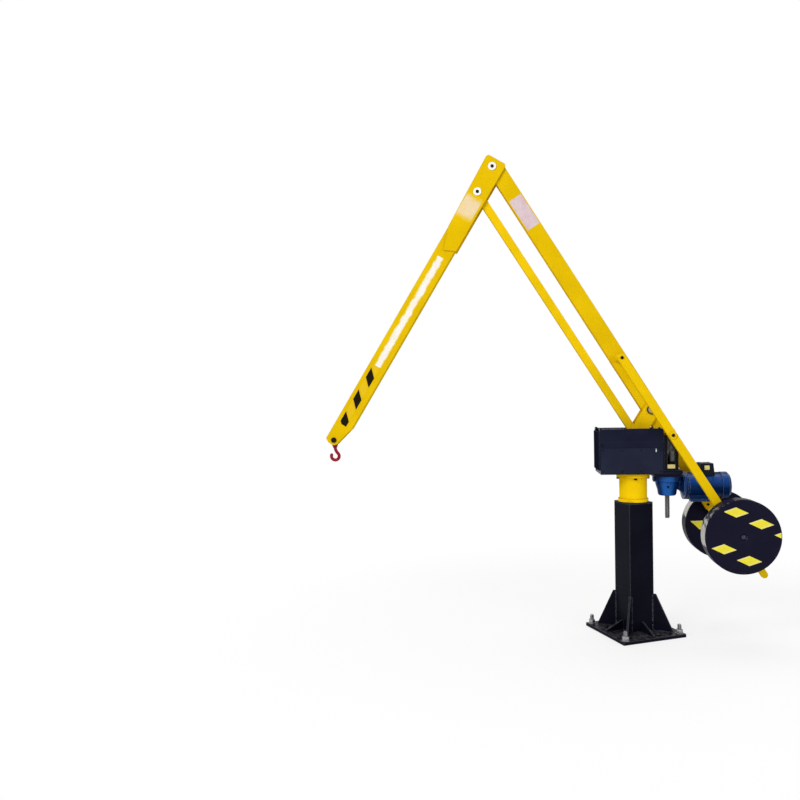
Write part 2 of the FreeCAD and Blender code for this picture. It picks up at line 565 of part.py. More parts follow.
# Forearm: box beam with a forked tip, two elbow plates and three pins
def forearm():
    # the beam lies a little inwards of the line through its pivots
    outer_edge = "(dims.fore_depth/2-dims.fore_shift)"
    inner_edge = "(dims.fore_depth/2+dims.fore_shift)"
    reach = "dims.arm_length"
    beam = plate([("dims.fore_start", "-" + outer_edge),
                  (reach + "+dims.tip_toe", "-" + outer_edge),
                  (reach + "+dims.tip_radius", "-dims.tip_nose"), (reach, "dims.tip_radius"),
                  (reach + "-dims.tip_taper", inner_edge), ("dims.fore_start", inner_edge)],
                 "2*dims.fore_half")
    move(beam, y="dims.fore_half")
    tip = cross_rod("dims.tip_radius", "dims.fore_half", reach)
    wall = "dims.fore_wall"
    hollow = block("%s-dims.tip_taper-dims.tip_slot_depth-dims.fore_start" % reach,
                   "2*(dims.fore_half-%s)" % wall, "dims.fore_depth-2*%s" % wall,
                   "dims.fore_start-dims.fore_wall", "-dims.fore_half+" + wall, "-%s+%s" % (outer_edge, wall))
    slot = block("dims.tip_slot_depth+2*dims.tip_radius", "2*dims.tip_slot", "2*dims.fore_depth",
                 "%s-dims.tip_slot_depth" % reach, "-dims.tip_slot", "-dims.fore_depth")
    hole = cross_rod("dims.hook_pin_radius", "2*dims.fore_half", reach)
    node(on_forearm(cut(fuse(beam, tip), hollow, slot, hole)), "forearm")

    corner = "dims.elbow_corner"
    shape = [("-dims.elbow_top", "-dims.elbow_outer+" + corner),
             ("-dims.elbow_top+" + corner, "-dims.elbow_outer"),
             ("dims.elbow_shoulder", "-" + outer_edge), ("dims.elbow_tongue", "0"),
             ("dims.elbow_heel", inner_edge + "+dims.elbow_lap"),
             ("-dims.elbow_top+" + corner, "dims.elbow_inner"),
             ("-dims.elbow_top", "dims.elbow_inner-" + corner)]
    plates = []
    for offset in ("-dims.fore_half", "dims.fore_half+dims.elbow_thick"):
        side = move(plate(shape, "dims.elbow_thick"), y=offset)
        holes = [cross_rod("dims.pin_radius", "2*dims.fore_half", x) for x in ("0", LINK)]
        plates.append(cut(side, *holes))
    node(on_forearm(group(*plates)), "elbow_plates")

    outer = "(dims.fore_half+dims.elbow_thick)"
    pins = [headed_pin("dims.pin_radius", "dims.pin_head", "dims.pin_head_thick", outer, x)
            for x in ("0", LINK)]
    pins.append(headed_pin("dims.hook_pin_radius", "dims.hook_pin_head", "dims.pin_head_thick",
                           "dims.fore_half", reach))
    node(on_forearm(group(*pins)), "forearm_pins")


def headed_pin(radius, head, head_thick, half, x):
    """A pin across the arms with a round head outside each plate."""
    ends = [rod(head, head_thick, "y", x, start) for start in (half, "-%s-%s" % (half, head_thick))]
    return fuse(cross_rod(radius, half, x), *ends)


# Short link: a plate each side of the boom, with the link pin and the guide pin
def short_link():
    plates = []
    outer = "(dims.link_inner+dims.link_thick)"
    for start in ("-" + outer, "dims.link_inner"):
        strap = fuse(block(LINK, "dims.link_thick", "2*dims.link_half", "0", start, "-dims.link_half"),
                     rod("dims.link_half", "dims.link_thick", "y", "0", start),
                     rod("dims.link_half", "dims.link_thick", "y", LINK, start))
        holes = [cross_rod("dims.pin_radius", "2*" + outer, x) for x in ("0", LINK)]
        plates.append(cut(strap, *holes))
    node(move(group(*plates), LINK_X, "0", LINK_Z, Y_AXIS, FORE_TURN), "link_plates")
    pins = [headed_pin("dims.pin_radius", "dims.link_head", "dims.link_head_thick", outer, x)
            for x in ("0", LINK)]
    node(move(group(*pins), LINK_X, "0", LINK_Z, Y_AXIS, FORE_TURN), "link_pins")


# Tie bar from the elbow plates to the short link, parallel to the boom
def tie_bar():
    span = "(dims.arm_length-%s)" % LINK
    bar = block(span, "2*dims.tie_half", "dims.tie_depth", "0", "-dims.tie_half", "-dims.tie_depth/2")
    eyes = [cross_rod("dims.tie_eye", "dims.fore_half-dims.bearing_gap", "0"),
            cross_rod("dims.tie_eye", "dims.link_inner-dims.bearing_gap", span)]
    holes = [cross_rod("dims.pin_radius+dims.bearing_gap", "2*dims.link_inner", x) for x in ("0", span)]
    node(move(cut(fuse(bar, *eyes), *holes), TIE_X, "0", TIE_Z, Y_AXIS, BOOM_TURN), "tie_bar")


# Guide rollers of the short link's lower pivot, one in each rail
def guide_rollers():
    radius = "(dims.rail_height/2-dims.rail_flange-dims.slide_gap)"
    outer = "(dims.head_half-dims.rail_web-dims.roller_play)"
    inner = "(%s-dims.roller_width)" % outer
    rollers = []
    for side in (-1, 1):
        start = "-" + outer if side < 0 else inner
        stub = "-" + inner if side < 0 else "dims.axle_inner"
        wheel = rod(radius, "dims.roller_width", "y", GUIDE_X, start, GUIDE_Z)
        axle = rod("dims.axle_radius", "%s-dims.axle_inner" % inner, "y", GUIDE_X, stub, GUIDE_Z)
        rollers.append(fuse(wheel, axle))
    node(group(*rollers), "guide_rollers")


# Load hook: an eye on the hook pin, a bent shank and a round bowl with a blunt point
def hook():
    turn = "dims.hook_turn"
    bowl_x = "0"
    bowl_z = "-dims.hook_bowl_drop"
    # the shank leans out along an arc until it meets the bowl's circle
    lean = "(dims.hook_bowl*cos(%s)/(1-cos(%s)))" % (turn, turn)
    lean_z = "(%s+dims.hook_bowl*sin(%s)+%s*sin(%s))" % (bowl_z, turn, lean, turn)
    shank = rod("dims.hook_rod", "-(%s)" % lean_z, "z", "0", "0", lean_z)
    eye = cross_rod("dims.hook_eye", "dims.hook_eye_half")
    flare_end = "-dims.hook_flare_end"
    flare = plate([("-dims.hook_flare", "0"), ("-dims.hook_rod", flare_end),
                   ("dims.hook_rod", flare_end), ("dims.hook_flare", "0")], "2*dims.hook_rod")
    move(flare, y="dims.hook_rod")

    def bend(radius, sweep, x, z, start):
        arc = doc.addObject("Part::Torus", fresh_name("bend"))
        bind(arc, Radius1=radius, Radius2="dims.hook_rod", Angle3=sweep)
        laid = group(move(arc, axis=(1, 0, 0), angle="90"))
        return move(laid, x, "0", z, Y_AXIS, start)

    neck = bend(lean, turn, lean, lean_z, "180")
    bowl = bend("dims.hook_bowl", "dims.hook_wrap", bowl_x, bowl_z, "dims.hook_wrap-%s" % turn)
    tip_angle = "(%s-dims.hook_wrap)" % turn
    point = doc.addObject("Part::Sphere", fresh_name("point"))
    bind(point, Radius="dims.hook_rod")
    move(point, "%s+dims.hook_bowl*cos(%s)" % (bowl_x, tip_angle), "0",
         "%s+dims.hook_bowl*sin(%s)" % (bowl_z, tip_angle))
    hole = cross_rod("dims.hook_pin_radius+dims.bearing_gap", "2*dims.hook_eye_half")
    solid = cut(fuse(shank, eye, flare, neck, bowl, point), hole)
    node(move(solid, HOOK_X, "0", HOOK_Z), "hook")


base()
stiffeners("corner_gussets", "dims.gusset_toe", "dims.gusset_height", "dims.gusset_nose", "dims.gusset_land",
           "dims.gusset_thick", "45", "dims.column_side*sqrt(0.5)")
stiffeners("face_ribs", "dims.rib_toe", "dims.rib_height", "dims.rib_nose", "dims.rib_nose",
           "dims.rib_thick", "0", "dims.column_side/2")
neck()
head()
carriage_guides()
drive()
carriage()
pivot_pin()
boom()
counterweights()
forearm()
short_link()
tie_bar()
guide_rollers()
hook()
doc.recompute()

for item in doc.Objects:
    if "Invalid" in item.State or "Error" in item.State:
        raise RuntimeError("%s (%s) failed: %s" % (item.Name, item.Label, item.State))
for item in nodes:
    if item.Shape.isNull() or not item.Shape.isValid():
        raise RuntimeError("%s has no valid shape" % item.Label)

os.makedirs("parts", exist_ok=True)
for item in nodes:
    item.Shape.exportStep("parts/%s.step" % item.Label)
print("%d sub-parts written" % len(nodes))
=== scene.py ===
import json
from math import cos, floor, pi, radians, sin, sqrt

import bmesh
import bpy
from mathutils import Matrix, Vector


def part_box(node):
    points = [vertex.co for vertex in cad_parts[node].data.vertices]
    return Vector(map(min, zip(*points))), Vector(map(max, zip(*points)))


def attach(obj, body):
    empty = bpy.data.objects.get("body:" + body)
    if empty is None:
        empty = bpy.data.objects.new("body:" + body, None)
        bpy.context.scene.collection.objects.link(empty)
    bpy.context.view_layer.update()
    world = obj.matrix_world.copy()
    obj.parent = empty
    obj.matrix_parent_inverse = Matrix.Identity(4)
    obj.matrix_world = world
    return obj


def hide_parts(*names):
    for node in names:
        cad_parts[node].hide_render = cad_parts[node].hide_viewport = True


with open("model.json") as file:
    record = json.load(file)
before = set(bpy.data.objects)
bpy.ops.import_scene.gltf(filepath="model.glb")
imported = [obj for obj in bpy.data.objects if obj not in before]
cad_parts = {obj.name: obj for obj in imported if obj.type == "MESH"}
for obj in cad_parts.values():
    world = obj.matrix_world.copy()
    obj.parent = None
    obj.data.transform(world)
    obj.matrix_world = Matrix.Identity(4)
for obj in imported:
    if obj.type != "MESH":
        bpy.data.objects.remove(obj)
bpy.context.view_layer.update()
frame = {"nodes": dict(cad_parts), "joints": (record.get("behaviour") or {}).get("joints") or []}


# Floor plate, square column, cap, corner gussets and face ribs: cut steel plate, welded up and
# sprayed with one coat of black enamel. The plate is dusty, and its edges are chipped to primer.


class Field:
    """A socket whose value changes over a surface; arithmetic on it adds Math nodes to its tree."""

    def __init__(self, socket):
        self.socket = socket

    def node(self, kind, settings=None, inputs=None, output=0):
        """Adds a node with its settings, fills its sockets by name or number, gives an output."""
        made = self.socket.id_data.nodes.new(kind)
        for name, value in (settings or {}).items():
            setattr(made, name, value)
        shown = [socket for socket in made.inputs if socket.enabled]
        for key, value in (inputs or {}).items():
            by_name = [socket for socket in shown if socket.name == key]
            feed(by_name[0] if by_name else shown[key], value)
        return Field([socket for socket in made.outputs if socket.enabled][output])

    def sum(self, operation, *terms):
        return self.node("ShaderNodeMath", {"operation": operation}, dict(enumerate(terms)))

    def __add__(self, other):
        return self.sum("ADD", self, other)

    __radd__ = __add__

    def __mul__(self, other):
        return self.sum("MULTIPLY", self, other)

    __rmul__ = __mul__

    def __sub__(self, other):
        return self.sum("SUBTRACT", self, other)

    def __rsub__(self, other):
        return self.sum("SUBTRACT", other, self)

    def __truediv__(self, other):
        return self.sum("DIVIDE", self, other)

    def __abs__(self):
        return self.sum("ABSOLUTE", self)

    def part(self):
        """The part of a number after its point, which repeats a pattern."""
        return self.sum("FRACT", self)

    def ramp(self, low, high):
        """Rises smoothly from 0 to 1 while this value goes from low to high."""
        return self.node(
            "ShaderNodeMapRange",
            {"interpolation_type": "SMOOTHSTEP"},
            {"Value": self, "From Min": low, "From Max": high},
        )

    def blend(self, under, over):
        """A colour between two, the second where this value is 1."""
        return self.node(
            "ShaderNodeMix", {"data_type": "RGBA"}, {"Factor": self, "A": under, "B": over}
        )

    def noise(self, scale, detail=3.0):
        """Cloudy noise at this many clouds to the metre."""
        return self.node(
            "ShaderNodeTexNoise", {}, {"Vector": self, "Scale": scale, "Detail": detail}
        )

    def along(self, direction):
        """How far a point lies in one direction."""
        return self.node(
            "ShaderNodeVectorMath", {"operation": "DOT_PRODUCT"}, {0: self, 1: direction}
        )

    def stretched(self, scale):
        """The same place with each axis scaled, for streaks."""
        return self.node(
            "ShaderNodeVectorMath", {"operation": "MULTIPLY"}, {0: self, 1: scale}
        )


def feed(socket, value):
    """Links a socket to a field, or sets it to a plain value."""
    if isinstance(value, Field):
        socket.id_data.links.new(value.socket, socket)
    else:
        socket.default_value = value


def new_finish(name):
    """A new material: the material, its shader and the place that its patterns read."""
    finish = bpy.data.materials.new(name)
    finish.use_nodes = True
    shader = finish.node_tree.nodes["Principled BSDF"]
    place = Field(finish.node_tree.nodes.new("ShaderNodeTexCoord").outputs["Object"])
    return finish, shader, place


def set_shader(shader, **values):
    """Fills the shader's sockets; an underscore in a name stands for a space."""
    for name, value in values.items():
        feed(shader.inputs[name.replace("_", " ")], value)


def facing(place):
    """The direction in which the surface faces."""
    return place.node("ShaderNodeNewGeometry", output=1)


def rounded(place, radius):
    """The direction in which the surface faces, with its edges softened to a radius."""
    return place.node("ShaderNodeBevel", {"samples": 4}, {"Radius": radius})


def edge_turn(place, radius):
    """0 on a flat and towards 1 along an edge."""
    return (1.0 - rounded(place, radius).along(facing(place))).ramp(0.01, 0.2)


def bumped(place, height, depth, normal):
    """A surface direction with a fine relief of this depth in metres."""
    inputs = {"Strength": 1.0, "Distance": depth, "Height": height, "Normal": normal}
    return place.node("ShaderNodeBump", {}, inputs)


def enamel(name, colour, cloud, under, gloss, chips, dust, shine, edge=0.004, painted_highlight=None):
    """Sprayed enamel on steel: cloudy colour, orange peel, chipped edges, dust on top, and edges
    blended to the under colour as painted edge light and shade, partly rubbed wear.

    Painted highlight is a direction and a lighter colour, painted on the side that faces that way.
    """
    finish, shader, place = new_finish(name)
    clouds = place.noise(5.0).ramp(0.3, 0.7)
    peel = place.noise(420.0, 1.0)
    scuff = place.noise(38.0, 6.0)
    edge_wear_and_light = edge_turn(place, edge)
    chipped = (edge_wear_and_light * place.noise(95.0, 5.0)).ramp(0.62 - chips, 0.7 - chips)
    upward = facing(place).along((0, 0, 1)).ramp(0.2, 0.95)
    dusty = upward * scuff.ramp(0.35, 0.7) * dust
    paint = clouds.blend(colour, cloud)
    # Painted highlight: the paint turns to a lighter colour on the side facing a direction; that
    # colour is a highlight, not faded paint.
    if painted_highlight:
        toward, faded = painted_highlight
        paint = facing(place).along(toward).ramp(0.75, 1.0).blend(paint, faded)
    # Edges blend toward the under colour: painted highlight on dark paints, painted shade on
    # yellow, with some real rubbing.
    paint = (0.45 * edge_wear_and_light).blend(paint, under)
    paint = dusty.blend(paint, (0.31, 0.305, 0.31, 1))
    set_shader(
        shader,
        Base_Color=chipped.blend(paint, under),
        Roughness=gloss + 0.10 * scuff + 0.35 * chipped + 0.4 * dusty,
        Normal=bumped(place, peel - 3.0 * chipped, 0.00006, rounded(place, 0.0015)),
        Specular_IOR_Level=shine,
    )
    return finish


def dress(finish, *nodes):
    """Gives CAD nodes a finish."""
    for name in nodes:
        for material_slot in frame["nodes"][name].material_slots:
            material_slot.material = finish


# Primer grey for chips, and the colour of the painted edge highlight on dark paints.
PRIMER_AND_HIGHLIGHT_GREY = (0.105, 0.110, 0.130, 1)
BLACK_SHINE = 0.02
# The base's edge blend is 10 mm wide: a painted highlight along the column's corners and the plate
# and rib edges.
base_enamel = enamel(
    "black_enamel_base", (0.004, 0.004, 0.009, 1), (0.006, 0.006, 0.013, 1), PRIMER_AND_HIGHLIGHT_GREY,
    gloss=0.24, chips=0.06, dust=0.2, shine=BLACK_SHINE, edge=0.010,
)
dress(base_enamel, "base_plate", "column", "column_cap", "corner_gussets", "face_ribs")


# Weld beads round the column's foot and along the gussets: one pass each, left as run, with the
# ripple of the arc, and painted over with the base.


def pick_faces(passes):
    """Selects the faces, in edit mode, whose centre and direction pass a test."""
    mesh = bpy.context.object.data
    bpy.ops.mesh.select_mode(type="FACE")
    bpy.ops.mesh.select_all(action="DESELECT")
    shape = bmesh.from_edit_mesh(mesh)
    for face in shape.faces:
        face.select_set(passes(face.calc_center_median(), face.normal))
    bmesh.update_edit_mesh(mesh)


def begin_edit():
    """Goes into edit mode with all of the new piece selected."""
    bpy.ops.object.mode_set(mode="EDIT")
    bpy.ops.mesh.select_all(action="SELECT")


def stretch(factors):
    """Stretches what is selected from the origin."""
    bpy.ops.transform.resize(value=factors, center_override=(0, 0, 0))


def take_shape(smooth_to=32):
    """Closes the piece in hand, smooths it up to an angle and gives its mesh without its object."""
    bpy.ops.mesh.select_all(action="SELECT")
    bpy.ops.mesh.remove_doubles(threshold=0.00001)
    bpy.ops.mesh.normals_make_consistent(inside=False)
    bpy.ops.object.mode_set(mode="OBJECT")
    bpy.ops.object.shade_smooth_by_angle(angle=radians(smooth_to))
    piece = bpy.context.object
    mesh = piece.data
    mesh.transform(piece.matrix_world)
    mesh.materials.clear()
    bpy.data.objects.remove(piece)
    return mesh


def put(name, shape, where, body, finish):
    """A copy of a shape, with its own mesh moved to its place, riding a body."""
    piece = bpy.data.objects.new(name, shape.copy())
    piece.data.transform(where)
    piece.data.materials.append(finish)
    bpy.context.scene.collection.objects.link(piece)
    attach(piece, body)
    return piece


def standing(point, way):
    """The place of a shape that was modelled standing up, at a point and along a direction."""
    return Matrix.Translation(point) @ Vector(way).to_track_quat("Z", "Y").to_matrix().to_4x4()


def weld_bead(length, radius=0.0045, pitch=0.0062):
    """A rippled bead standing on the origin: one ripple drawn from a ring, then an array of it."""
    bpy.ops.mesh.primitive_circle_add(vertices=10, radius=radius)
    begin_edit()
    for grow in (1.22, 1 / 1.22):
        bpy.ops.mesh.extrude_edges_move(TRANSFORM_OT_translate={"value": (0, 0, pitch / 2)})
        stretch((grow, grow, 1))
    bpy.ops.object.mode_set(mode="OBJECT")
    run = bpy.context.object.modifiers.new("run", "ARRAY")
    run.use_relative_offset = False
    run.use_constant_offset = True
    run.constant_offset_displace = (0, 0, pitch)
    run.count = max(2, floor(length / pitch))
    run.use_merge_vertices = True
    bpy.ops.object.modifier_apply(modifier="run")
    begin_edit()
    bpy.ops.mesh.fill_holes(sides=0)
    return take_shape(70)


base_turn = radians(23.8)
plate_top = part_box("base_plate")[1].z
column_half = 0.083
gusset_toe = 0.226
gusset_half = 0.006
gusset_top = 0.24
bead_proud = 0.001
foot_bead = weld_bead(2 * column_half)
toe_bead = weld_bead(gusset_toe - sqrt(2) * column_half)
rise_bead = weld_bead(gusset_top - plate_top)
for side in range(4):
    face_turn = Matrix.Rotation(base_turn + side * pi / 2, 4, "Z")
    corner_turn = Matrix.Rotation(base_turn + (side + 0.5) * pi / 2, 4, "Z")
    foot = face_turn @ standing((column_half, -column_half, plate_top), (0, 1, 0))
    put(f"foot_weld_{side}", foot_bead, foot, "base", base_enamel)
    for edge in (-1, 1):
        start = (sqrt(2) * column_half, edge * gusset_half, plate_top)
        toe = corner_turn @ standing(start, (1, 0, 0))
        put(f"toe_weld_{side}_{edge + 1}", toe_bead, toe, "base", base_enamel)
        start = (
            sqrt(2) * column_half - gusset_half, edge * (gusset_half + bead_proud), plate_top
        )
        rise = corner_turn @ standing(start, (0, 0, 1))
        put(f"rise_weld_{side}_{edge + 1}", rise_bead, rise, "base", base_enamel)


# Four anchor bolts: threaded studs set in the floor, each with a flat washer and a hex nut.
# They are zinc plated, dulled by weather, with dust in the threads.


def plated(name, colour, tint, gloss, grain):
    """Plated or bare machined steel: fine turning marks, cloudy tint and dirt."""
    finish, shader, place = new_finish(name)
    tarnish = place.noise(55.0, 5.0).ramp(0.35, 0.75)
    marks = place.stretched((grain, grain, grain * 0.06)).noise(1.0, 2.0)
    grime = place.noise(160.0, 4.0).ramp(0.55, 0.8)
    set_shader(
        shader,
        Base_Color=(0.6 * grime).blend(tarnish.blend(colour, tint), (0.02, 0.018, 0.016, 1)),
        Metallic=1.0 - 0.55 * grime,
        Roughness=gloss + 0.22 * tarnish + 0.2 * grime,
        Normal=bumped(place, marks, 0.00005, rounded(place, 0.0006)),
    )
    return finish


def begin_bar(sides, radius, height):
    """Begins a piece as a bar of this many sides, standing on the origin, in edit mode."""
    bpy.ops.mesh.primitive_cylinder_add(
        vertices=sides, radius=radius, depth=height, location=(0, 0, height / 2)
    )
    begin_edit()


def threaded_rod(radius, root, pitch, length, steps):
    """A rod cut with a trapezoid thread, standing on the origin, with its core's ends chamfered."""
    begin_bar(steps, root, length)
    pick_faces(lambda centre, way: abs(way.z) > 0.9)
    bpy.ops.mesh.bevel(offset=root * 0.2, segments=1, affect="EDGES")
    bpy.ops.object.mode_set(mode="OBJECT")
    core = bpy.context.object
    flank = [(root, 0.0), (root, 0.28), (radius, 0.42), (radius, 0.86), (root, 1.0)]
    profile = bpy.data.meshes.new("thread_profile")
    profile.from_pydata([(x, 0, z * pitch) for x, z in flank], [(k, k + 1) for k in range(4)], [])
    thread = bpy.data.objects.new("thread_cut", profile)
    bpy.context.scene.collection.objects.link(thread)
    bpy.ops.object.select_all(action="DESELECT")
    thread.select_set(True)
    bpy.context.view_layer.objects.active = thread
    turn = thread.modifiers.new("turn", "SCREW")
    turn.screw_offset = pitch
    turn.iterations = floor((length - root * 0.5) / pitch)
    turn.steps = steps
    turn.render_steps = steps
    turn.use_merge_vertices = True
    turn.merge_threshold = 0.00001
    bpy.ops.object.modifier_apply(modifier="turn")
    core.select_set(True)
    bpy.ops.object.join()
    begin_edit()
    return take_shape()


def bored_bar(sides, radius, height, ease, steps, rim):
    """A bar standing on the origin with eased ends and an open bore inside a rim."""
    begin_bar(sides, radius, height)
    pick_faces(lambda centre, way: abs(way.z) > 0.9)
    bpy.ops.mesh.bevel(offset=ease, segments=steps, affect="EDGES")
    pick_faces(lambda centre, way: abs(way.z) > 0.9 and centre.xy.length < 0.1 * radius)
    bpy.ops.mesh.inset(thickness=rim)
    bpy.ops.mesh.bridge_edge_loops()
    return take_shape()


def hex_nut(across, height, bore):
    """A hex nut, chamfered top and bottom."""
    return bored_bar(6, across / sqrt(3), height, across * 0.05, 2, across / 2 - bore)


def washer(radius, bore, height):
    """A flat washer with eased edges."""
    ease = height * 0.2
    return bored_bar(32, radius, height, ease, 1, radius - ease - bore)


zinc_anchor = plated(
    "zinc_anchor", (0.34, 0.345, 0.36, 1), (0.20, 0.20, 0.21, 1), gloss=0.40, grain=900.0
)
anchor_circle = 0.268
stud_radius = 0.012
stud_pitch = 0.003
stud_length = 0.052
nut_across = 0.036
nut_height = 0.0215
washer_radius = 0.024
washer_height = 0.004
anchor_stud = threaded_rod(stud_radius, stud_radius * 0.85, stud_pitch, stud_length, steps=16)
anchor_nut = hex_nut(nut_across, nut_height, bore=stud_radius * 0.98)
anchor_washer = washer(washer_radius, bore=stud_radius * 1.05, height=washer_height)
up = Vector((0, 0, 1))
for corner in range(4):
    around = base_turn + (corner + 0.5) * pi / 2
    spot = Vector((anchor_circle * cos(around), anchor_circle * sin(around), plate_top))
    on_plate = standing(spot, up)
    on_washer = standing(spot + washer_height * up, up)
    put(f"anchor_washer_{corner}", anchor_washer, on_plate, "base", zinc_anchor)
    put(f"anchor_nut_{corner}", anchor_nut, on_washer, "base", zinc_anchor)
    put(f"anchor_stud_{corner}", anchor_stud, on_washer, "base", zinc_anchor)


# Slewing neck: a turned collar on the column's cap, a tube and a flange, all yellow enamel.
# The flange hangs from the bed by four black cap screws put in from below.
CHROME_YELLOW = (0.73, 0.48, 0.003, 1)
DEEP_YELLOW = (0.66, 0.425, 0.002, 1)
YELLOW_SHINE = 0.0
# Primer brown for chips, and the colour of the painted shade along yellow edges.
PRIMER_AND_SHADE_BROWN = (0.16, 0.10, 0.05, 1)
neck_enamel = enamel(
    "yellow_enamel_neck", (0.90, 0.59, 0.003, 1), (0.82, 0.53, 0.003, 1), PRIMER_AND_SHADE_BROWN,
    gloss=0.22, chips=0.02, dust=0.2, shine=YELLOW_SHINE,
)
dress(neck_enamel, "neck_collar", "neck_tube", "neck_flange")


def draw_out(way):
    """Draws the selected faces out along a way."""
    bpy.ops.mesh.extrude_region_move(TRANSFORM_OT_translate={"value": way})


def cap_screw(radius, height, sides=20):
    """A socket cap screw's head standing on the origin, with a round socket sunk in its top."""
    begin_bar(sides, radius, height)
    pick_faces(lambda centre, way: way.z > 0.9)
    bpy.ops.mesh.bevel(offset=radius * 0.12, segments=2, affect="EDGES")
    pick_faces(lambda centre, way: way.z > 0.9 and centre.xy.length < radius * 0.1)
    bpy.ops.mesh.inset(thickness=radius * 0.36)
    draw_out((0, 0, -height * 0.55))
    return take_shape()


black_oxide = plated(
    "black_oxide", (0.012, 0.010, 0.010, 1), (0.006, 0.005, 0.005, 1), gloss=0.38, grain=700.0
)
flange_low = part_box("neck_flange")[0].z
flange_circle = 0.0917
flange_screw = cap_screw(radius=0.0092, height=0.011)
for number in range(4):
    around = -pi / 2 + number * pi / 2
    spot = (flange_circle * cos(around), flange_circle * sin(around), flange_low)
    put(
        f"flange_screw_{number}", flange_screw, standing(spot, (0, 0, -1)),
        "head", black_oxide,
    )


# Head: bed plate, guide rails, housings and side covers of bent sheet, in a blue-black enamel.
# The covers are screwed on, and a bright spring latch holds the front one at its right end.
head_enamel = enamel(
    "navy_enamel_head", (0.007, 0.008, 0.020, 1), (0.011, 0.013, 0.028, 1),
    (0.030, 0.033, 0.046, 1), gloss=0.20, chips=0.03, dust=0.15, shine=BLACK_SHINE,
)
dress(
    head_enamel, "bed_plate", "front_guide_rail", "back_guide_rail", "front_housing",
    "back_housing", "rear_tie_plate", "gear_adapter",
)
# The covers' edges blend toward near-black: painted shade along their edges and seam.
cover_enamel = enamel(
    "navy_enamel_covers", (0.019, 0.023, 0.044, 1), (0.013, 0.016, 0.032, 1),
    (0.002, 0.002, 0.004, 1), gloss=0.24, chips=0.03, dust=0.15, shine=BLACK_SHINE, edge=0.009,
)
dress(cover_enamel, "side_covers")
# The left end plate takes a darker copy of the head's navy, painted shade on its lit left face.
shaded_end_enamel = enamel(
    "navy_enamel_end", (0.006, 0.007, 0.017, 1), (0.009, 0.010, 0.022, 1), PRIMER_AND_HIGHLIGHT_GREY,
    gloss=0.5, chips=0.03, dust=0.15, shine=0.0,
)
dress(shaded_end_enamel, "left_end_plate")


def hex_head(across, height):
    """A hex bolt's head standing on the origin, chamfered, with a shallow dish in its top."""
    begin_bar(6, across / sqrt(3), height)
    pick_faces(lambda centre, way: way.z > 0.9)
    bpy.ops.mesh.bevel(offset=across * 0.07, segments=2, affect="EDGES")
    pick_faces(lambda centre, way: way.z > 0.9 and centre.xy.length < across * 0.1)
    bpy.ops.mesh.inset(thickness=across * 0.1, depth=-height * 0.06)
    return take_shape()


cover_low, cover_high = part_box("side_covers")
rail_low, rail_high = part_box("front_guide_rail")
cover_screw = cap_screw(radius=0.0055, height=0.003, sides=16)
cover_inset = 0.016
cover_drop = 0.014
cover_rows = (cover_low.z + cover_inset, cover_high.z - cover_drop)
cover_run = cover_high.x - cover_low.x - 2 * cover_inset
cover_columns = [cover_low.x + cover_inset + step * cover_run / 3 for step in range(4)]
for side in (-1, 1):
    for row, height in enumerate(cover_rows):
        for column, across in enumerate(cover_columns):
            spot = (across, side * cover_high.y, height)
            put(
                f"cover_screw_{side + 1}_{row}_{column}", cover_screw, standing(spot, (0, side, 0)),
                "head", cover_enamel,
            )
rail_bolt = hex_head(across=0.013, height=0.007)
rail_bolt_columns = (0.092, 0.143)
rail_middle = 0.101
for side in (-1, 1):
    for number, across in enumerate(rail_bolt_columns):
        spot = (across, side * rail_middle, rail_high.z)
        put(
            f"rail_bolt_{side + 1}_{number}", rail_bolt, standing(spot, up),
            "head", black_oxide,
        )


# Rail stops: small steel blocks screwed on the rails' left ends, so that the rollers can't run out.
# They are sawn from bar and painted with the head.


def begin_block(size):
    """Begins a piece as a block of this size, standing on the origin, in edit mode."""
    bpy.ops.mesh.primitive_cube_add(size=1, location=(0, 0, 0.5))
    begin_edit()
    stretch(size)


def bevelled_block(size, edge):
    """A block standing on the origin with its edges eased."""
    begin_block(size)
    bpy.ops.mesh.bevel(offset=edge, segments=2, affect="EDGES")
    return take_shape()


stop_size = (0.014, 0.030, 0.006)
rail_stop = bevelled_block(stop_size, edge=0.0015)
for side in (-1, 1):
    spot = Matrix.Translation((rail_low.x + 0.5 * stop_size[0], side * rail_middle, rail_high.z))
    put(f"rail_stop_{side + 1}", rail_stop, spot, "head", head_enamel)


# Spring latch on the front cover, pressed and zinc plated, and a blackened grease fitting
# screwed in beside the seam.


def latch_shape(width, height, depth):
    """A pressed latch: an eased plate whose top is drawn out into a narrower hooked tongue."""
    begin_block((width, height, depth))
    pick_faces(lambda centre, way: way.y > 0.9)
    bpy.ops.mesh.inset(thickness=width * 0.2)
    draw_out((0, height * 0.6, 0))
    draw_out((0, height * 0.15, depth * 0.5))
    pick_faces(lambda centre, way: way.z > 0.9)
    bpy.ops.mesh.bevel(offset=depth * 0.2, segments=2, affect="EDGES")
    return take_shape()


bright_zinc = plated(
    "bright_zinc", (0.72, 0.72, 0.70, 1), (0.55, 0.55, 0.53, 1), gloss=0.26, grain=1100.0
)
latch = latch_shape(width=0.0065, height=0.012, depth=0.004)
latch_station = 0.117
latch_height = 1.128
latch_spot = Matrix.Translation((latch_station, cover_low.y, latch_height))
latch_place = latch_spot @ Matrix.Rotation(pi / 2, 4, "X")
put("cover_latch", latch, latch_place, "head", bright_zinc)


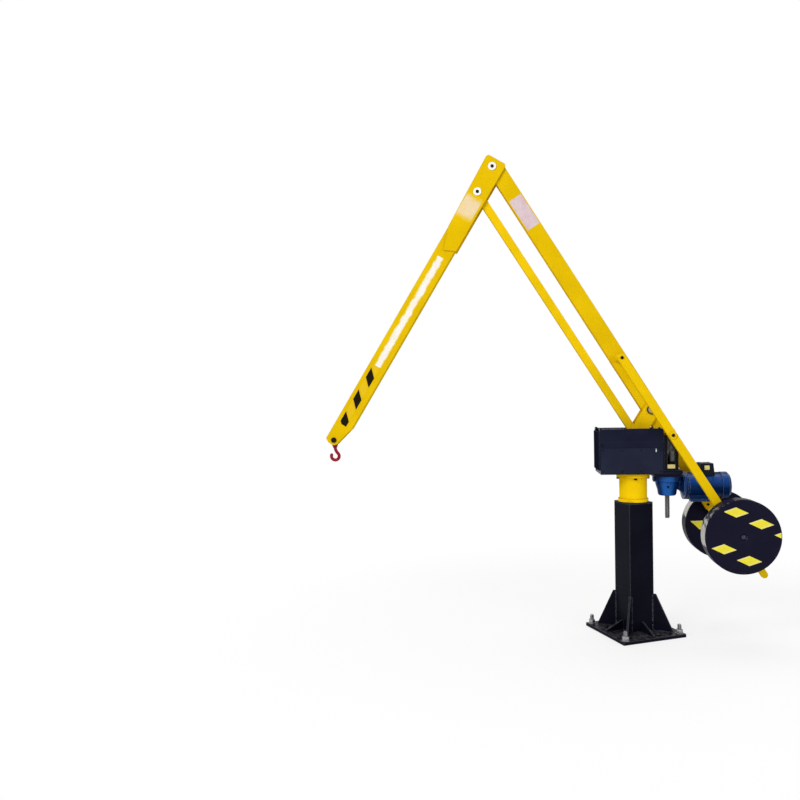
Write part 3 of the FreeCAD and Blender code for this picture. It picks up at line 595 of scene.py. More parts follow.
def stepped_round(radius, length, rings, sides, bore=None):
    """A round piece standing on the origin and drawn on in rings, each with a rise and a radius."""
    begin_bar(sides, radius, length)
    pick_faces(lambda centre, way: way.z > 0.9)
    reached = radius
    for rise, wide in rings:
        draw_out((0, 0, rise))
        grow = wide / reached
        stretch((grow, grow, 1))
        reached = wide
    if bore:
        bpy.ops.mesh.inset(thickness=reached - bore)
        pick_faces(lambda centre, way: way.z < -0.9)
        bpy.ops.mesh.inset(thickness=radius - bore)
        pick_faces(lambda centre, way: abs(way.z) > 0.9 and centre.xy.length < 0.1 * bore)
        bpy.ops.mesh.bridge_edge_loops()
    return take_shape()


nipple_rings = (
    (0.0, 0.0030), (0.0025, 0.0023), (0.0015, 0.0034), (0.0020, 0.0034), (0.0015, 0.0020)
)
nipple = stepped_round(radius=0.005, length=0.005, rings=nipple_rings, sides=12)
nipple_station = -0.203
nipple_height = 1.163
nipple_spot = (nipple_station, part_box("front_housing")[0].y, nipple_height)
put(
    "rail_nipple", nipple, standing(nipple_spot, (0, -1, 0)), "head", black_oxide
)


# Vertical guides: two slotted cheeks of thick plate, painted and chipped, held by flush socket
# screws. A cream nylon buffer, sawn from a cast block, lies at the foot of each slot.


def greased_steel(name, colour, streak):
    """Machined steel that slides: bright vertical rub marks in a film of dark grease."""
    finish, shader, place = new_finish(name)
    rubs = place.stretched((420.0, 420.0, 16.0)).noise(1.0, 4.0)
    rubbed = rubs.ramp(0.58, 0.74)
    smear = place.noise(30.0, 5.0).ramp(0.4, 0.65)
    set_shader(
        shader,
        Base_Color=(rubbed * (1.0 - 0.6 * smear)).blend(colour, streak),
        Metallic=0.2 + 0.6 * rubbed,
        Roughness=0.42 - 0.18 * rubbed - 0.12 * smear,
        Normal=bumped(place, rubs, 0.0001, rounded(place, 0.001)),
    )
    return finish


cheek_enamel = enamel(
    "black_enamel_cheeks", (0.005, 0.005, 0.008, 1), (0.008, 0.008, 0.012, 1), PRIMER_AND_HIGHLIGHT_GREY,
    gloss=0.26, chips=0.09, dust=0.15, shine=BLACK_SHINE,
)
dress(cheek_enamel, "front_guide_cheek", "back_guide_cheek")
cheek_low, cheek_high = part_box("front_guide_cheek")
cheek_screw = cap_screw(radius=0.0062, height=0.0016, sides=18)
cheek_inset = 0.010
cheek_end = 0.022
cheek_columns = (cheek_low.x + cheek_inset, cheek_high.x - cheek_inset)
cheek_run = cheek_high.z - cheek_low.z - 2 * cheek_end
for side in (-1, 1):
    for column, across in enumerate(cheek_columns):
        for row in range(4):
            height = cheek_low.z + cheek_end + row * cheek_run / 3
            spot = (across, -side * cheek_low.y, height)
            put(
                f"cheek_screw_{side + 1}_{column}_{row}", cheek_screw, standing(spot, (0, side, 0)),
                "head", black_oxide,
            )


def nylon(name):
    """Cast nylon: cream, faintly mottled, with sawn edges and oil stains."""
    finish, shader, place = new_finish(name)
    mottle = place.noise(60.0, 4.0)
    stain = place.noise(25.0, 3.0).ramp(0.55, 0.75)
    saw = place.stretched((30.0, 30.0, 900.0)).noise(1.0, 2.0)
    colour = mottle.blend((0.48, 0.40, 0.13, 1), (0.56, 0.48, 0.19, 1))
    set_shader(
        shader,
        Base_Color=(0.5 * stain).blend(colour, (0.30, 0.21, 0.06, 1)),
        Roughness=0.5 + 0.15 * mottle,
        Normal=bumped(place, saw, 0.00012, rounded(place, 0.001)),
    )
    return finish


dress(nylon("cream_nylon"), "slot_buffers")


# Drive: worm gear and motor, castings in blue enamel, with a pressed fan cover and a black moulded
# terminal box. The gear's casting is a tapered cup under a flange with six bolts, with an oil plug,
# and its waisted neck opens into a bell at the motor. The bolts are painted with the castings.
BLUE_SHINE = 0.07
# The gear's lighter blue towards the front left is a painted highlight.
gear_enamel = enamel(
    "blue_enamel_gear", (0.004, 0.026, 0.13, 1), (0.002, 0.016, 0.085, 1), PRIMER_AND_HIGHLIGHT_GREY,
    gloss=0.14, chips=0.02, dust=0.10, shine=BLUE_SHINE,
    painted_highlight=((-0.15, -0.95, -0.27), (0.012, 0.095, 0.36, 1)),
)
# The motor's blue is a darker copy of the gear's, painted shade; its pale-blue edge colour and the
# band on its upper front are painted highlights.
motor_enamel = enamel(
    "blue_enamel_motor", (0.002, 0.018, 0.085, 1), (0.002, 0.012, 0.060, 1), (0.19, 0.30, 0.52, 1),
    gloss=0.12, chips=0.10, dust=0.10, shine=BLUE_SHINE, edge=0.006,
    painted_highlight=((0, -0.8, 0.6), (0.004, 0.042, 0.20, 1)),
)
dress(motor_enamel, "motor_flange", "motor_body", "fan_cover")


def moulded(name, colour):
    """Moulded plastic: even colour with a fine spark-eroded grain and rubbed corners."""
    finish, shader, place = new_finish(name)
    grain = place.noise(1400.0, 2.0)
    rub = edge_turn(place, 0.003) * place.noise(60.0, 4.0).ramp(0.4, 0.6)
    pale = tuple(min(1.0, channel * 3 + 0.03) for channel in colour[:3]) + (1,)
    set_shader(
        shader,
        Base_Color=(0.4 * rub).blend(colour, pale),
        Roughness=0.45 + 0.15 * grain,
        Normal=bumped(place, grain, 0.00008, rounded(place, 0.0015)),
        Specular_IOR_Level=0.08,
    )
    return finish


dress(moulded("black_moulding", (0.006, 0.007, 0.015, 1)), "terminal_box")
gear_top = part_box("gear_housing")[1].z
gear_axis = 0.206
gear_flange_radius = 0.088
gear_flange = 0.030
screw_bore = 0.017
cup_rings = (
    (0.0, 0.0735), (0.014, 0.0715), (0.016, 0.067), (0.024, 0.0595), (0.022, 0.0560),
    (0.008, 0.0545), (0.006, 0.0490),
)
gear_cup = stepped_round(gear_flange_radius, gear_flange, cup_rings, sides=64, bore=screw_bore)
cup_place = standing((gear_axis, 0, gear_top), (0, 0, -1))
gear_casting = put("gear_casting", gear_cup, cup_place, "head", gear_enamel)
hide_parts("gear_housing")
motor_axis_z = 0.9053
neck_lead = 0.030
neck_rings = ((0.010, 0.030), (0.008, 0.041), (0.006, 0.055), (0.004, 0.066), (0.004, 0.068))
gear_neck = stepped_round(radius=0.026, length=0.032, rings=neck_rings, sides=48)
neck_place = standing((gear_axis + neck_lead, 0, motor_axis_z), (1, 0, 0))
put("gear_neck", gear_neck, neck_place, "head", motor_enamel)
oil_plug = hex_head(across=0.013, height=0.006)
plug_way = Vector((-0.110, -0.948, -0.298))
plug_drop = 0.063
plug_reach = 0.0662
plug_spot = Vector((gear_axis, 0, gear_top - plug_drop)) + plug_reach * Vector((-0.115, -0.993, 0))
put("oil_plug", oil_plug, standing(plug_spot, plug_way), "head", black_oxide)
gear_bolt = hex_head(across=0.013, height=0.012)
gear_circle = 0.0805
for number in range(6):
    around = radians(30) + number * pi / 3
    spot = (
        gear_axis + gear_circle * cos(around), gear_circle * sin(around), gear_top - gear_flange
    )
    put(f"gear_bolt_{number}", gear_bolt, standing(spot, -up), "head", gear_enamel)
motor_bolt = hex_head(across=0.013, height=0.008)
motor_circle = 0.076
flange_thick = 0.018
flange_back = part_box("motor_flange")[0].x + flange_thick
for number in range(4):
    around = radians(45) + number * pi / 2
    spot = (flange_back, motor_circle * cos(around), motor_axis_z + motor_circle * sin(around))
    bolt_place = standing(spot, (1, 0, 0))
    put(f"motor_bolt_{number}", motor_bolt, bolt_place, "head", motor_enamel)


# Fan grille: rings of round wire and flat spokes, welded and set on the end of the fan cover, then
# painted with the motor.


def wire_ring(radius, wire):
    """A ring of round wire lying on the origin, spun from a small circle."""
    bpy.ops.mesh.primitive_circle_add(
        vertices=8, radius=wire, location=(radius, 0, 0), rotation=(pi / 2, 0, 0)
    )
    begin_edit()
    bpy.ops.mesh.spin(steps=40, angle=2 * pi, center=(0, 0, 0), axis=(0, 0, 1))
    return take_shape(80)


fan_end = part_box("fan_cover")[1].x
fan_place = standing((fan_end, 0, motor_axis_z), (1, 0, 0))
fan_wire = 0.0022
for number, radius in enumerate((0.020, 0.034, 0.048, 0.062)):
    fan_ring = wire_ring(radius, fan_wire)
    put(f"fan_ring_{number}", fan_ring, fan_place, "head", motor_enamel)
fan_spoke = bevelled_block((0.004, 0.132, 0.003), edge=0.001)
for number in range(4):
    turned = fan_place @ Matrix.Rotation(number * pi / 4, 4, "Z")
    put(f"fan_spoke_{number}", fan_spoke, turned, "head", motor_enamel)


# Terminal box trim: four zinc lid screws, a plugged cable gland of moulded nylon at the back and a
# blank yellow vinyl sticker on the front.
box_low, box_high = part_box("terminal_box")
box_middle = (box_low.x + box_high.x) / 2
lid_inset = 0.020
lid_reach = 0.5 * (box_high.x - box_low.x) - lid_inset
lid_screw = cap_screw(radius=0.0045, height=0.003, sides=14)
for number, (along, across) in enumerate(((-1, -1), (-1, 1), (1, -1), (1, 1))):
    spot = (box_middle + along * lid_reach, across * (box_high.y - lid_inset), box_high.z)
    put(f"lid_screw_{number}", lid_screw, standing(spot, up), "head", zinc_anchor)
gland_nut = hex_nut(across=0.024, height=0.014, bore=0.006)
gland_finish = moulded("gland_nylon", (0.020, 0.020, 0.022, 1))
gland_rise = 0.035
plug_seat = 0.006
gland_spot = Vector((box_middle, box_high.y, box_low.z + gland_rise))
gland_place = standing(gland_spot, (0, 1, 0))
put("cable_gland", gland_nut, gland_place, "head", gland_finish)
plug_rings = ((0.0, 0.0085), (0.0025, 0.0085), (0.0010, 0.0070))
gland_plug = stepped_round(radius=0.0058, length=0.0085, rings=plug_rings, sides=20)
plug_place = standing(gland_spot + Vector((0, plug_seat, 0)), (0, 1, 0))
put("gland_plug", gland_plug, plug_place, "head", gland_finish)


def sticker_shape(length, width, corner, thick=0.0004):
    """A thin sheet lying on the origin, with its corners rounded."""
    bpy.ops.mesh.primitive_plane_add(size=1)
    begin_edit()
    stretch((length, width, 1))
    bpy.ops.mesh.bevel(offset=corner, segments=4, affect="VERTICES")
    draw_out((0, 0, thick))
    return take_shape()


def vinyl_film(name, colour, faded):
    """Vinyl film: even colour, faded in clouds, with fine creases and a soft shine."""
    finish, shader, place = new_finish(name)
    fading = place.noise(22.0, 4.0).ramp(0.35, 0.7)
    crease = place.noise(240.0, 3.0)
    set_shader(
        shader,
        Base_Color=fading.blend(colour, faded),
        Roughness=0.32 + 0.2 * fading,
        Normal=bumped(place, crease, 0.00005, facing(place)),
    )
    return finish


box_sticker = sticker_shape(length=0.030, width=0.026, corner=0.003)
sticker_drop = 0.026
box_sticker_place = standing((box_middle, box_low.y, box_high.z - sticker_drop), (0, -1, 0))
yellow_vinyl = vinyl_film("yellow_vinyl", (0.74, 0.68, 0.24, 1), (0.66, 0.58, 0.16, 1))
put("terminal_sticker", box_sticker, box_sticker_place, "head", yellow_vinyl)


# Lifting carriage: a steel fork on the lead screw with two slide blocks that run in the cheeks.
# The fork is painted black, the blocks are machined and greased, the screw is cut from bar.
fork_enamel = enamel(
    "black_enamel_fork", (0.006, 0.006, 0.008, 1), (0.010, 0.010, 0.012, 1), PRIMER_AND_HIGHLIGHT_GREY,
    gloss=0.30, chips=0.10, dust=0.15, shine=BLACK_SHINE,
)
dress(fork_enamel, "carriage_fork")
block_steel = greased_steel("greased_block", (0.010, 0.010, 0.011, 1), (0.34, 0.33, 0.31, 1))
dress(block_steel, "slide_blocks")
screw_low, screw_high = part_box("lead_screw")
screw_radius = 0.0145
screw_pitch = 0.006
screw_length = screw_high.z - screw_low.z
screw_steel = plated(
    "lead_screw_steel", (0.24, 0.235, 0.23, 1), (0.12, 0.115, 0.11, 1), gloss=0.30, grain=500.0
)
lead_thread = threaded_rod(screw_radius, screw_radius * 0.8, screw_pitch, screw_length, steps=24)
screw_place = standing((gear_axis, 0, screw_low.z), up)
lead_screw = put(
    "lead_screw_thread", lead_thread, screw_place, "carriage", screw_steel
)
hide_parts("lead_screw")


# Boom: a welded box beam in bright yellow enamel, with a blank pale sticker near its upper end.
# Its lower pivot pin is painted with the bars and closed by a black bolt at each end.
pivots = {joint["name"]: Vector(joint["pos_m"]) for joint in frame["joints"] if "pos_m" in joint}
shoulder = pivots["boom_reach"]
elbow = pivots["elbow"]
wrist = pivots["hook_swing"]
boom_way = (shoulder - elbow).normalized()
boom_side = Vector((-boom_way.z, 0, boom_way.x))
boom_enamel = enamel(
    "yellow_enamel_boom", CHROME_YELLOW, DEEP_YELLOW, PRIMER_AND_SHADE_BROWN,
    gloss=0.20, chips=0.0, dust=0.12, shine=YELLOW_SHINE,
)
bar_enamel = enamel(
    "yellow_enamel_bars", (0.79, 0.515, 0.003, 1), CHROME_YELLOW, PRIMER_AND_SHADE_BROWN,
    gloss=0.24, chips=0.02, dust=0.15, shine=YELLOW_SHINE,
)
dress(boom_enamel, "boom")
dress(
    bar_enamel, "bar_spacers", "boom_pin", "front_counterweight_bar", "front_counterweight_slide",
    "back_counterweight_slide",
)
# The back bar's deeper orange-yellow is a darker copy of the bars' yellow, painted shade.
shaded_back_enamel = enamel(
    "yellow_enamel_back", (0.68, 0.415, 0.006, 1), (0.60, 0.35, 0.005, 1), PRIMER_AND_SHADE_BROWN,
    gloss=0.30, chips=0.04, dust=0.15, shine=YELLOW_SHINE,
)
dress(shaded_back_enamel, "back_counterweight_bar")


def flat_on(origin, along, out):
    """The place of a sheet modelled lying down: its length along one way, its face out another."""
    turn = Matrix((along, Vector(out).cross(along), out)).transposed().to_4x4()
    return Matrix.Translation(origin) @ turn


def put_pair(name, shape, spot, reach, body, finish):
    """Puts a shape on both sides of the arms, standing on the faces that lie this far out."""
    for side in (-1, 1):
        place = standing((spot.x, side * reach, spot.z), (0, side, 0))
        put(f"{name}_{side + 1}", shape, place, body, finish)


boom_face = -0.030
label_station = 1.628
label_climb = 0.0124
label_middle = shoulder - label_station * boom_way + label_climb * boom_side
label_middle.y = boom_face
label_shape = sticker_shape(length=0.216, width=0.086, corner=0.004)
pale_vinyl = vinyl_film("pale_vinyl", (0.62, 0.50, 0.52, 1), (0.57, 0.40, 0.43, 1))
label_place = flat_on(label_middle, boom_way, (0, -1, 0))
put("boom_label", label_shape, label_place, "boom", pale_vinyl)
bar_low, bar_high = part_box("back_counterweight_bar")
bar_bolt_back = 0.550
bar_bolt_spot = shoulder - bar_bolt_back * boom_way
pivot_bolt = hex_head(across=0.018, height=0.006)
pin_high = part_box("boom_pin")[1]
put_pair("pivot_bolt", pivot_bolt, shoulder, pin_high.y, "pivot", black_oxide)
put_pair("bar_bolt", pivot_bolt, bar_bolt_spot, bar_high.y, "boom", black_oxide)


# Counterweights: two turned steel discs on flat slides in the bars, painted black and taped. The
# rims are worn through to bright steel where the discs have been rolled and slung.
disc_centre = sum(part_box("front_counterweight_disc"), Vector()) / 2


def worn_disc(name, rubbed):
    """Black satin paint whose rim is rubbed to bare turned steel round the given angles."""
    finish, shader, place = new_finish(name)
    around = facing(place)
    on_rim = 1.0 - abs(around.along((0, 1, 0))).ramp(0.3, 0.8)
    fine = place.noise(70.0, 6.0)
    ragged = 0.6 * place.noise(26.0, 5.0) + 0.4 * fine
    bare = 0.0
    for angle, spread, share in rubbed:
        toward = around.along((cos(radians(angle)), 0, sin(radians(angle))))
        bare = bare + share * toward.ramp(cos(radians(1.3 * spread)), cos(radians(0.4 * spread)))
    bare = on_rim * (bare + 2.6 * (ragged - 0.5) * bare.ramp(0.0, 0.3)).ramp(0.36, 0.66)
    across = place.along((1, 0, 0)) - disc_centre.x
    upward = place.along((0, 0, 1)) - disc_centre.z
    clear_from, clear_to = 0.15, 0.16
    outside = (across * across + upward * upward).ramp(clear_from ** 2, clear_to ** 2)
    chipped = outside * (edge_turn(place, 0.006) * fine).ramp(0.56, 0.62)
    turning = place.stretched((1.0, 900.0, 1.0)).noise(1.0, 2.0)
    showing = 1.0 - (1.0 - bare) * (1.0 - chipped)
    clouds = place.noise(12.0, 4.0)
    steel = fine.blend((0.30, 0.29, 0.27, 1), (0.62, 0.61, 0.58, 1))
    paint = clouds.blend((0.007, 0.0065, 0.017, 1), (0.011, 0.0105, 0.024, 1))
    set_shader(
        shader,
        Base_Color=showing.blend(paint, steel),
        Metallic=0.85 * showing,
        Roughness=0.30 + 0.12 * clouds + 0.05 * showing,
        Normal=bumped(
            place, turning * on_rim + place.noise(350.0, 1.0), 0.00008, rounded(place, 0.002)
        ),
        Specular_IOR_Level=BLACK_SHINE,
    )
    return finish


front_paint = worn_disc("front_disc_paint", ((181, 15, 1.0), (146, 24, 0.46)))
dress(front_paint, "front_counterweight_disc")
back_paint = worn_disc("back_disc_paint", ((140, 14, 1.0), (158, 11, 0.8)))
dress(back_paint, "back_counterweight_disc")


def hazard_vinyl(name, origin, along, across, period, yellow_share, black, yellow, pale):
    """Hazard tape: yellow bars with pale edges at 45 degrees on black, the first at the origin."""
    finish, shader, place = new_finish(name)
    start = origin.dot(along) - origin.dot(across)
    run = place.along(along) - place.along(across) - start
    wave = abs((run / period + 0.5).part() - 0.5) * 2.0
    yellow_bar = 1.0 - wave.ramp(yellow_share - 0.02, yellow_share + 0.02)
    scuff = place.noise(80.0, 5.0)
    faded_yellow = wave.ramp(0.5 * yellow_share, yellow_share).blend(yellow, pale)
    worn_yellow = (0.5 * scuff).blend(faded_yellow, (0.62, 0.42, 0.03, 1))
    set_shader(
        shader,
        Base_Color=yellow_bar.blend(black, worn_yellow),
        Roughness=0.30 + 0.2 * scuff,
        Normal=bumped(place, place.noise(300.0, 2.0), 0.00006, facing(place)),
        Specular_IOR_Level=BLACK_SHINE,
    )
    return finish


def chord_tape(radius, middle, width, start, thick=0.0004):
    """A strip of tape lying across a disc: a round sheet cut along both sides and at its start."""
    bpy.ops.mesh.primitive_circle_add(vertices=128, radius=radius, fill_type="NGON")
    begin_edit()
    low, high = middle - width / 2, middle + width / 2
    cuts = (((0, high, 0), (0, 1, 0)), ((0, low, 0), (0, -1, 0)), ((start, 0, 0), (-1, 0, 0)))
    for spot, way in cuts:
        bpy.ops.mesh.select_all(action="SELECT")
        bpy.ops.mesh.bisect(plane_co=spot, plane_no=way, clear_outer=True)
    bpy.ops.mesh.select_all(action="SELECT")
    draw_out((0, 0, thick))
    return take_shape()


TAPE_BLACK = (0.009, 0.0085, 0.020, 1)
TAPE_YELLOW = (0.82, 0.76, 0.05, 1)
TAPE_PALE = (0.84, 0.80, 0.30, 1)
tape_width = 0.053
tape_period = 0.157
yellow_share = 0.5
tape_radius = 0.212
disc_thick = 0.100
outer_slope = -25.6
outer_rows = ((0.112, 0.058, -0.160), (-0.110, 0.087, -0.150))
inner_slope = -43.0
inner_rows = ((-0.086, -0.083, -0.160),)
for side, disc in ((-1, "front_counterweight_disc"), (1, "back_counterweight_disc")):
    disc_low, disc_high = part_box(disc)
    disc_middle = (disc_low + disc_high) / 2
    outer_face = max(-disc_low.y, disc_high.y)
    faces = (("outer", side, outer_slope, outer_rows), ("inner", -side, inner_slope, inner_rows))
    for face, out, slope, rows in faces:
        tape_along = Vector((cos(radians(slope)), 0, sin(radians(slope))))
        tape_across = Vector((-tape_along.z, 0, tape_along.x))
        face_y = side * outer_face if face == "outer" else side * (outer_face - disc_thick)
        for row, (middle, first_bar, start) in enumerate(rows):
            centre = Vector((disc_middle.x, face_y, disc_middle.z))
            bar_spot = centre + first_bar * tape_along + middle * tape_across
            place = flat_on(centre, tape_along, (0, out, 0))
            strip = chord_tape(tape_radius, -out * middle, tape_width, start)
            vinyl = hazard_vinyl(
                f"hazard_vinyl_{side + 1}_{face}_{row}", bar_spot, tape_along, tape_across,
                tape_period, yellow_share, TAPE_BLACK, TAPE_YELLOW, TAPE_PALE,
            )
            put(f"disc_tape_{side + 1}_{face}_{row}", strip, place, "boom", vinyl)


# Disc fastenings: a hex bolt in each hub's recess, tinted blue as a painted glint, and near the end
# of each bar a blackened cap screw on the inner side, which locks the slide.
hub_bolt = hex_head(across=0.024, height=0.004)
# The hub bolt's blue tint is a painted glint.
glint_tinted_hub_finish = plated(
    "hub_bolt_steel", (0.050, 0.062, 0.092, 1), (0.016, 0.018, 0.030, 1), gloss=0.34, grain=600.0
)
hub_recess = 0.006
hub_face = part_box("back_counterweight_disc")[1].y - hub_recess
put_pair("hub_bolt", hub_bolt, disc_centre, hub_face, "boom", glint_tinted_hub_finish)
clamp_screw = cap_screw(radius=0.008, height=0.006, sides=18)
clamp_lead = 0.540
for side in (-1, 1):
    spot = shoulder + clamp_lead * boom_way
    spot.y = side * bar_low.y
    clamp_place = standing(spot, (0, -side, 0))
    put(f"clamp_screw_{side + 1}", clamp_screw, clamp_place, "boom", black_oxide)


# Forearm: box beam, forked tip and elbow plates in the same bright yellow, with black bars of
# hazard tape near the hook. A blank white film and a cream one on the elbow plate flake off the
# front. The elbow pins end in plated caps, each closed by a black bolt.
forearm_enamel = enamel(
    "yellow_enamel_forearm", CHROME_YELLOW, DEEP_YELLOW, PRIMER_AND_SHADE_BROWN,
    gloss=0.19, chips=0.0, dust=0.12, shine=YELLOW_SHINE,
)
dress(forearm_enamel, "forearm", "elbow_plates")
forearm_way = (wrist - elbow).normalized()
forearm_side = Vector((-forearm_way.z, 0, forearm_way.x))
forearm_half = 0.035
tape_start = 1.436
tape_end = 1.862
tape_first_yellow = 1.596
arm_tape_width = 0.050
arm_tape_period = 0.160
arm_yellow_share = 0.56
arm_tape = sticker_shape(tape_end - tape_start, arm_tape_width, corner=0.0006)
arm_vinyl = hazard_vinyl(
    "hazard_vinyl_forearm", elbow + tape_first_yellow * forearm_way, forearm_way, forearm_side,
    arm_tape_period, arm_yellow_share, (0.012, 0.009, 0.004, 1), CHROME_YELLOW, DEEP_YELLOW,
)
for side in (-1, 1):
    spot = elbow + 0.5 * (tape_start + tape_end) * forearm_way
    spot.y = side * forearm_half
    tape_place = flat_on(spot, forearm_way, (0, side, 0))
    put(f"forearm_tape_{side + 1}", arm_tape, tape_place, "forearm", arm_vinyl)


def flaked_film(name, middle, across, half, colour, stained, under):
    """A plain film whose long edges have flaked off in ragged bites, down to the paint below."""
    finish, shader, place = new_finish(name)
    off_middle = abs(place.along(across) - middle.dot(across))
    flaked = (off_middle + 0.030 * (place.noise(26.0, 5.0) - 0.5)).ramp(0.5 * half, 0.95 * half)
    stain = place.noise(14.0, 4.0).ramp(0.4, 0.7)
    set_shader(
        shader,
        Base_Color=flaked.blend(stain.blend(colour, stained), under),
        Roughness=0.34 + 0.12 * stain,
        Normal=bumped(place, place.noise(240.0, 3.0), 0.00005, facing(place)),
        Specular_IOR_Level=0.1,
    )
    return finish


strip_start = 0.640
strip_end = 1.432
strip_half = 0.026
strip_climb = 0.005
strip_middle = elbow + 0.5 * (strip_start + strip_end) * forearm_way + strip_climb * forearm_side
strip_middle.y = -forearm_half
blank_strip = sticker_shape(strip_end - strip_start, 2 * strip_half, corner=0.012)
strip_film = flaked_film(
    "white_film", strip_middle, forearm_side, strip_half,
    (0.82, 0.79, 0.74, 1), (0.80, 0.74, 0.60, 1), CHROME_YELLOW,
)
strip_place = flat_on(strip_middle, forearm_way, (0, -1, 0))
put("forearm_strip", blank_strip, strip_place, "forearm", strip_film)
patch_station = 0.290
patch_half = 0.085
patch_width = 0.108
patch_climb = 0.004
patch_middle = elbow + patch_station * forearm_way + patch_climb * forearm_side
patch_middle.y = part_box("elbow_plates")[0].y
blank_patch = sticker_shape(2 * patch_half, patch_width, corner=0.012)
patch_film = flaked_film(
    "cream_film", patch_middle, forearm_way, patch_half,
    (0.75, 0.59, 0.35, 1), (0.74, 0.56, 0.26, 1), CHROME_YELLOW,
)
patch_place = flat_on(patch_middle, forearm_way, (0, -1, 0))
put("elbow_patch", blank_patch, patch_place, "forearm", patch_film)


def pin_finish(name):
    """Bright plated pins, and black paint on the one that carries the hook."""
    finish, shader, place = new_finish(name)
    tarnish = place.noise(60.0, 4.0)
    height = place.along((0, 0, 1))
    bright = height.ramp(wrist.z + 0.3, wrist.z + 0.31)
    steel = tarnish.blend((0.80, 0.80, 0.78, 1), (0.66, 0.65, 0.62, 1))
    set_shader(
        shader,
        Base_Color=bright.blend((0.010, 0.005, 0.004, 1), steel),
        Metallic=0.7 * bright,
        Roughness=0.30 + 0.15 * tarnish,
        Normal=bumped(place, place.noise(500.0, 2.0), 0.00005, rounded(place, 0.001)),
        Specular_IOR_Level=0.1,
    )
    return finish


dress(pin_finish("plated_pins"), "forearm_pins")
cap_bolt = hex_head(across=0.019, height=0.006)
pin_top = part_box("forearm_pins")[1].y
for name, spot in (("elbow_cap_bolt", elbow), ("tie_cap_bolt", pivots["tie_swing"])):
    put_pair(name, cap_bolt, spot, pin_top, "forearm", black_oxide)


# Short link, tie bar and guide rollers: the link is two cut plates and the tie a bar with an eye
# at each end, all in yellow enamel. The link's pins have black heads, the upper ones with a bright
# cap, and the rollers are hardened steel.
# The link and tie take a lighter copy of the chrome yellow, painted light that offsets their shade.
lightened_link_enamel = enamel(
    "yellow_enamel_link", (0.81, 0.53, 0.004, 1), CHROME_YELLOW, PRIMER_AND_SHADE_BROWN,
    gloss=0.22, chips=0.0, dust=0.12, shine=YELLOW_SHINE,
)
dress(lightened_link_enamel, "link_plates", "tie_bar")
pin_black = plated(
    "black_pin_heads", (0.03, 0.03, 0.032, 1), (0.018, 0.018, 0.02, 1), gloss=0.34, grain=700.0
)
dress(pin_black, "link_pins")
roller_steel = plated(
    "roller_steel", (0.45, 0.45, 0.44, 1), (0.30, 0.29, 0.28, 1), gloss=0.25, grain=800.0
)
dress(roller_steel, "guide_rollers")
link_cap = washer(radius=0.0225, bore=0.010, height=0.003)
link_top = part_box("link_pins")[1].y
link_pivot = pivots["link_swing"]
put_pair("link_cap", link_cap, link_pivot, link_top, "link", bright_zinc)


# Hook: forged steel, with an eye that swings on the forearm's pin. It is in red enamel, chipped
# through to primer along its edges, which are also blended to primer grey as a painted highlight.
hook_enamel = enamel(
    "red_enamel_hook", (0.32, 0.010, 0.028, 1), (0.25, 0.008, 0.022, 1), PRIMER_AND_HIGHLIGHT_GREY,
    gloss=0.26, chips=0.06, dust=0.0, shine=0.1,
)
dress(hook_enamel, "hook")


# Floor and light: a pale studio floor that runs into a white background, a large soft light from
# the front left, a weaker one from the right and one above.


def lit_white(place, share):
    """How far rays from the camera, and those mirrored or let through, see plain white."""
    seen = place.node("ShaderNodeLightPath")
    mirrored = place.node("ShaderNodeLightPath", output=3)
    through = place.node("ShaderNodeLightPath", output=6)
    return share * seen.sum("MAXIMUM", seen, mirrored.sum("MAXIMUM", mirrored, through))


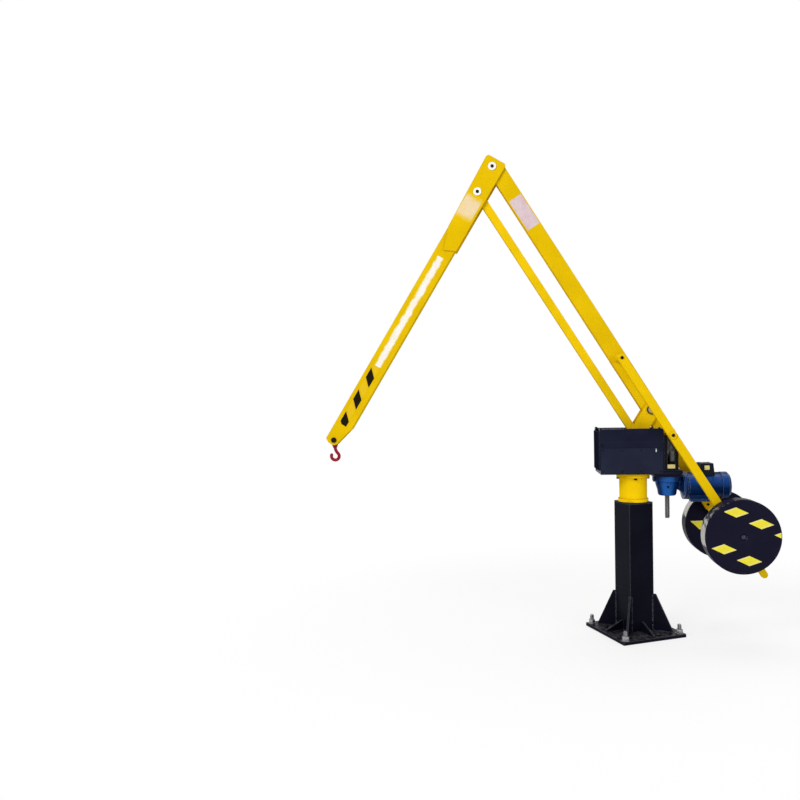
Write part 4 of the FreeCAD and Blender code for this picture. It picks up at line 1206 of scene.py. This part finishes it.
bpy.ops.mesh.primitive_plane_add(size=60)
studio_floor = bpy.context.object
studio_floor.name = "studio_floor"
floor_finish, floor_shader, floor_place = new_finish("pale_floor")
floor_tree = floor_finish.node_tree
set_shader(
    floor_shader,
    Base_Color=floor_place.noise(0.6).blend((0.84, 0.84, 0.84, 1), (0.88, 0.88, 0.88, 1)),
    Roughness=0.7 + 0.1 * floor_place.noise(3.0),
)
floor_far = floor_place.node("ShaderNodeVectorMath", {"operation": "LENGTH"}, {0: floor_place})
floor_white = 0.7 + 0.3 * floor_far.ramp(0.8, 3.0)
white_glow = floor_place.node("ShaderNodeEmission", {}, {"Color": (1, 1, 1, 1), "Strength": 1.0})
floor_mix = floor_place.node(
    "ShaderNodeMixShader", {},
    {0: lit_white(floor_place, floor_white), 1: Field(floor_shader.outputs["BSDF"]), 2: white_glow},
)
floor_tree.links.new(floor_mix.socket, floor_tree.nodes["Material Output"].inputs["Surface"])
studio_floor.data.materials.append(floor_finish)

world = bpy.context.scene.world or bpy.data.worlds.new("studio")
bpy.context.scene.world = world
world.use_nodes = True
world_tree = world.node_tree
sky = world_tree.nodes["Background"]
sky.inputs["Color"].default_value = (1, 1, 1, 1)
sky_place = Field(world_tree.nodes.new("ShaderNodeTexCoord").outputs["Generated"])
feed(sky.inputs["Strength"], 0.35 + 0.65 * lit_white(sky_place, 1.0))


def soft_light(name, spot, target, size, power):
    """A square soft light that looks at a point."""
    lamp = bpy.data.lights.new(name, "AREA")
    lamp.size = size
    lamp.energy = power
    holder = bpy.data.objects.new(name, lamp)
    holder.location = spot
    holder.rotation_euler = (Vector(target) - Vector(spot)).to_track_quat("-Z", "Y").to_euler()
    bpy.context.scene.collection.objects.link(holder)


middle_height = (0, 0, 1.3)
soft_light("front_left_light", (-4.0, -4.5, 4.5), middle_height, size=3.0, power=250)
soft_light("front_right_light", (4.0, -4.0, 2.6), middle_height, size=2.5, power=90)
soft_light("top_light", (0.5, 1.0, 6.0), middle_height, size=3.5, power=150)


# Camera: in front of the crane and to its left, about half way up it, almost level and slightly
# turned and rolled.
camera_spot = (-0.80836, -4.73128, 1.45216)
camera_yaw = 0.0811
camera_pitch = -0.0131
camera_roll = 0.0150
camera = bpy.data.cameras.new("photo_camera")
camera.sensor_width = 36.0
camera.lens = 33.81
camera.shift_x = -0.0501
camera.shift_y = 0.0127
camera_holder = bpy.data.objects.new("photo_camera", camera)
camera_holder.matrix_world = (
    Matrix.Translation(camera_spot)
    @ Matrix.Rotation(camera_yaw, 4, "Z")
    @ Matrix.Rotation(pi / 2 + camera_pitch, 4, "X")
    @ Matrix.Rotation(-camera_roll, 4, "Z")
)
bpy.context.scene.collection.objects.link(camera_holder)
bpy.context.scene.camera = camera_holder
bpy.context.scene.view_settings.view_transform = "Standard"
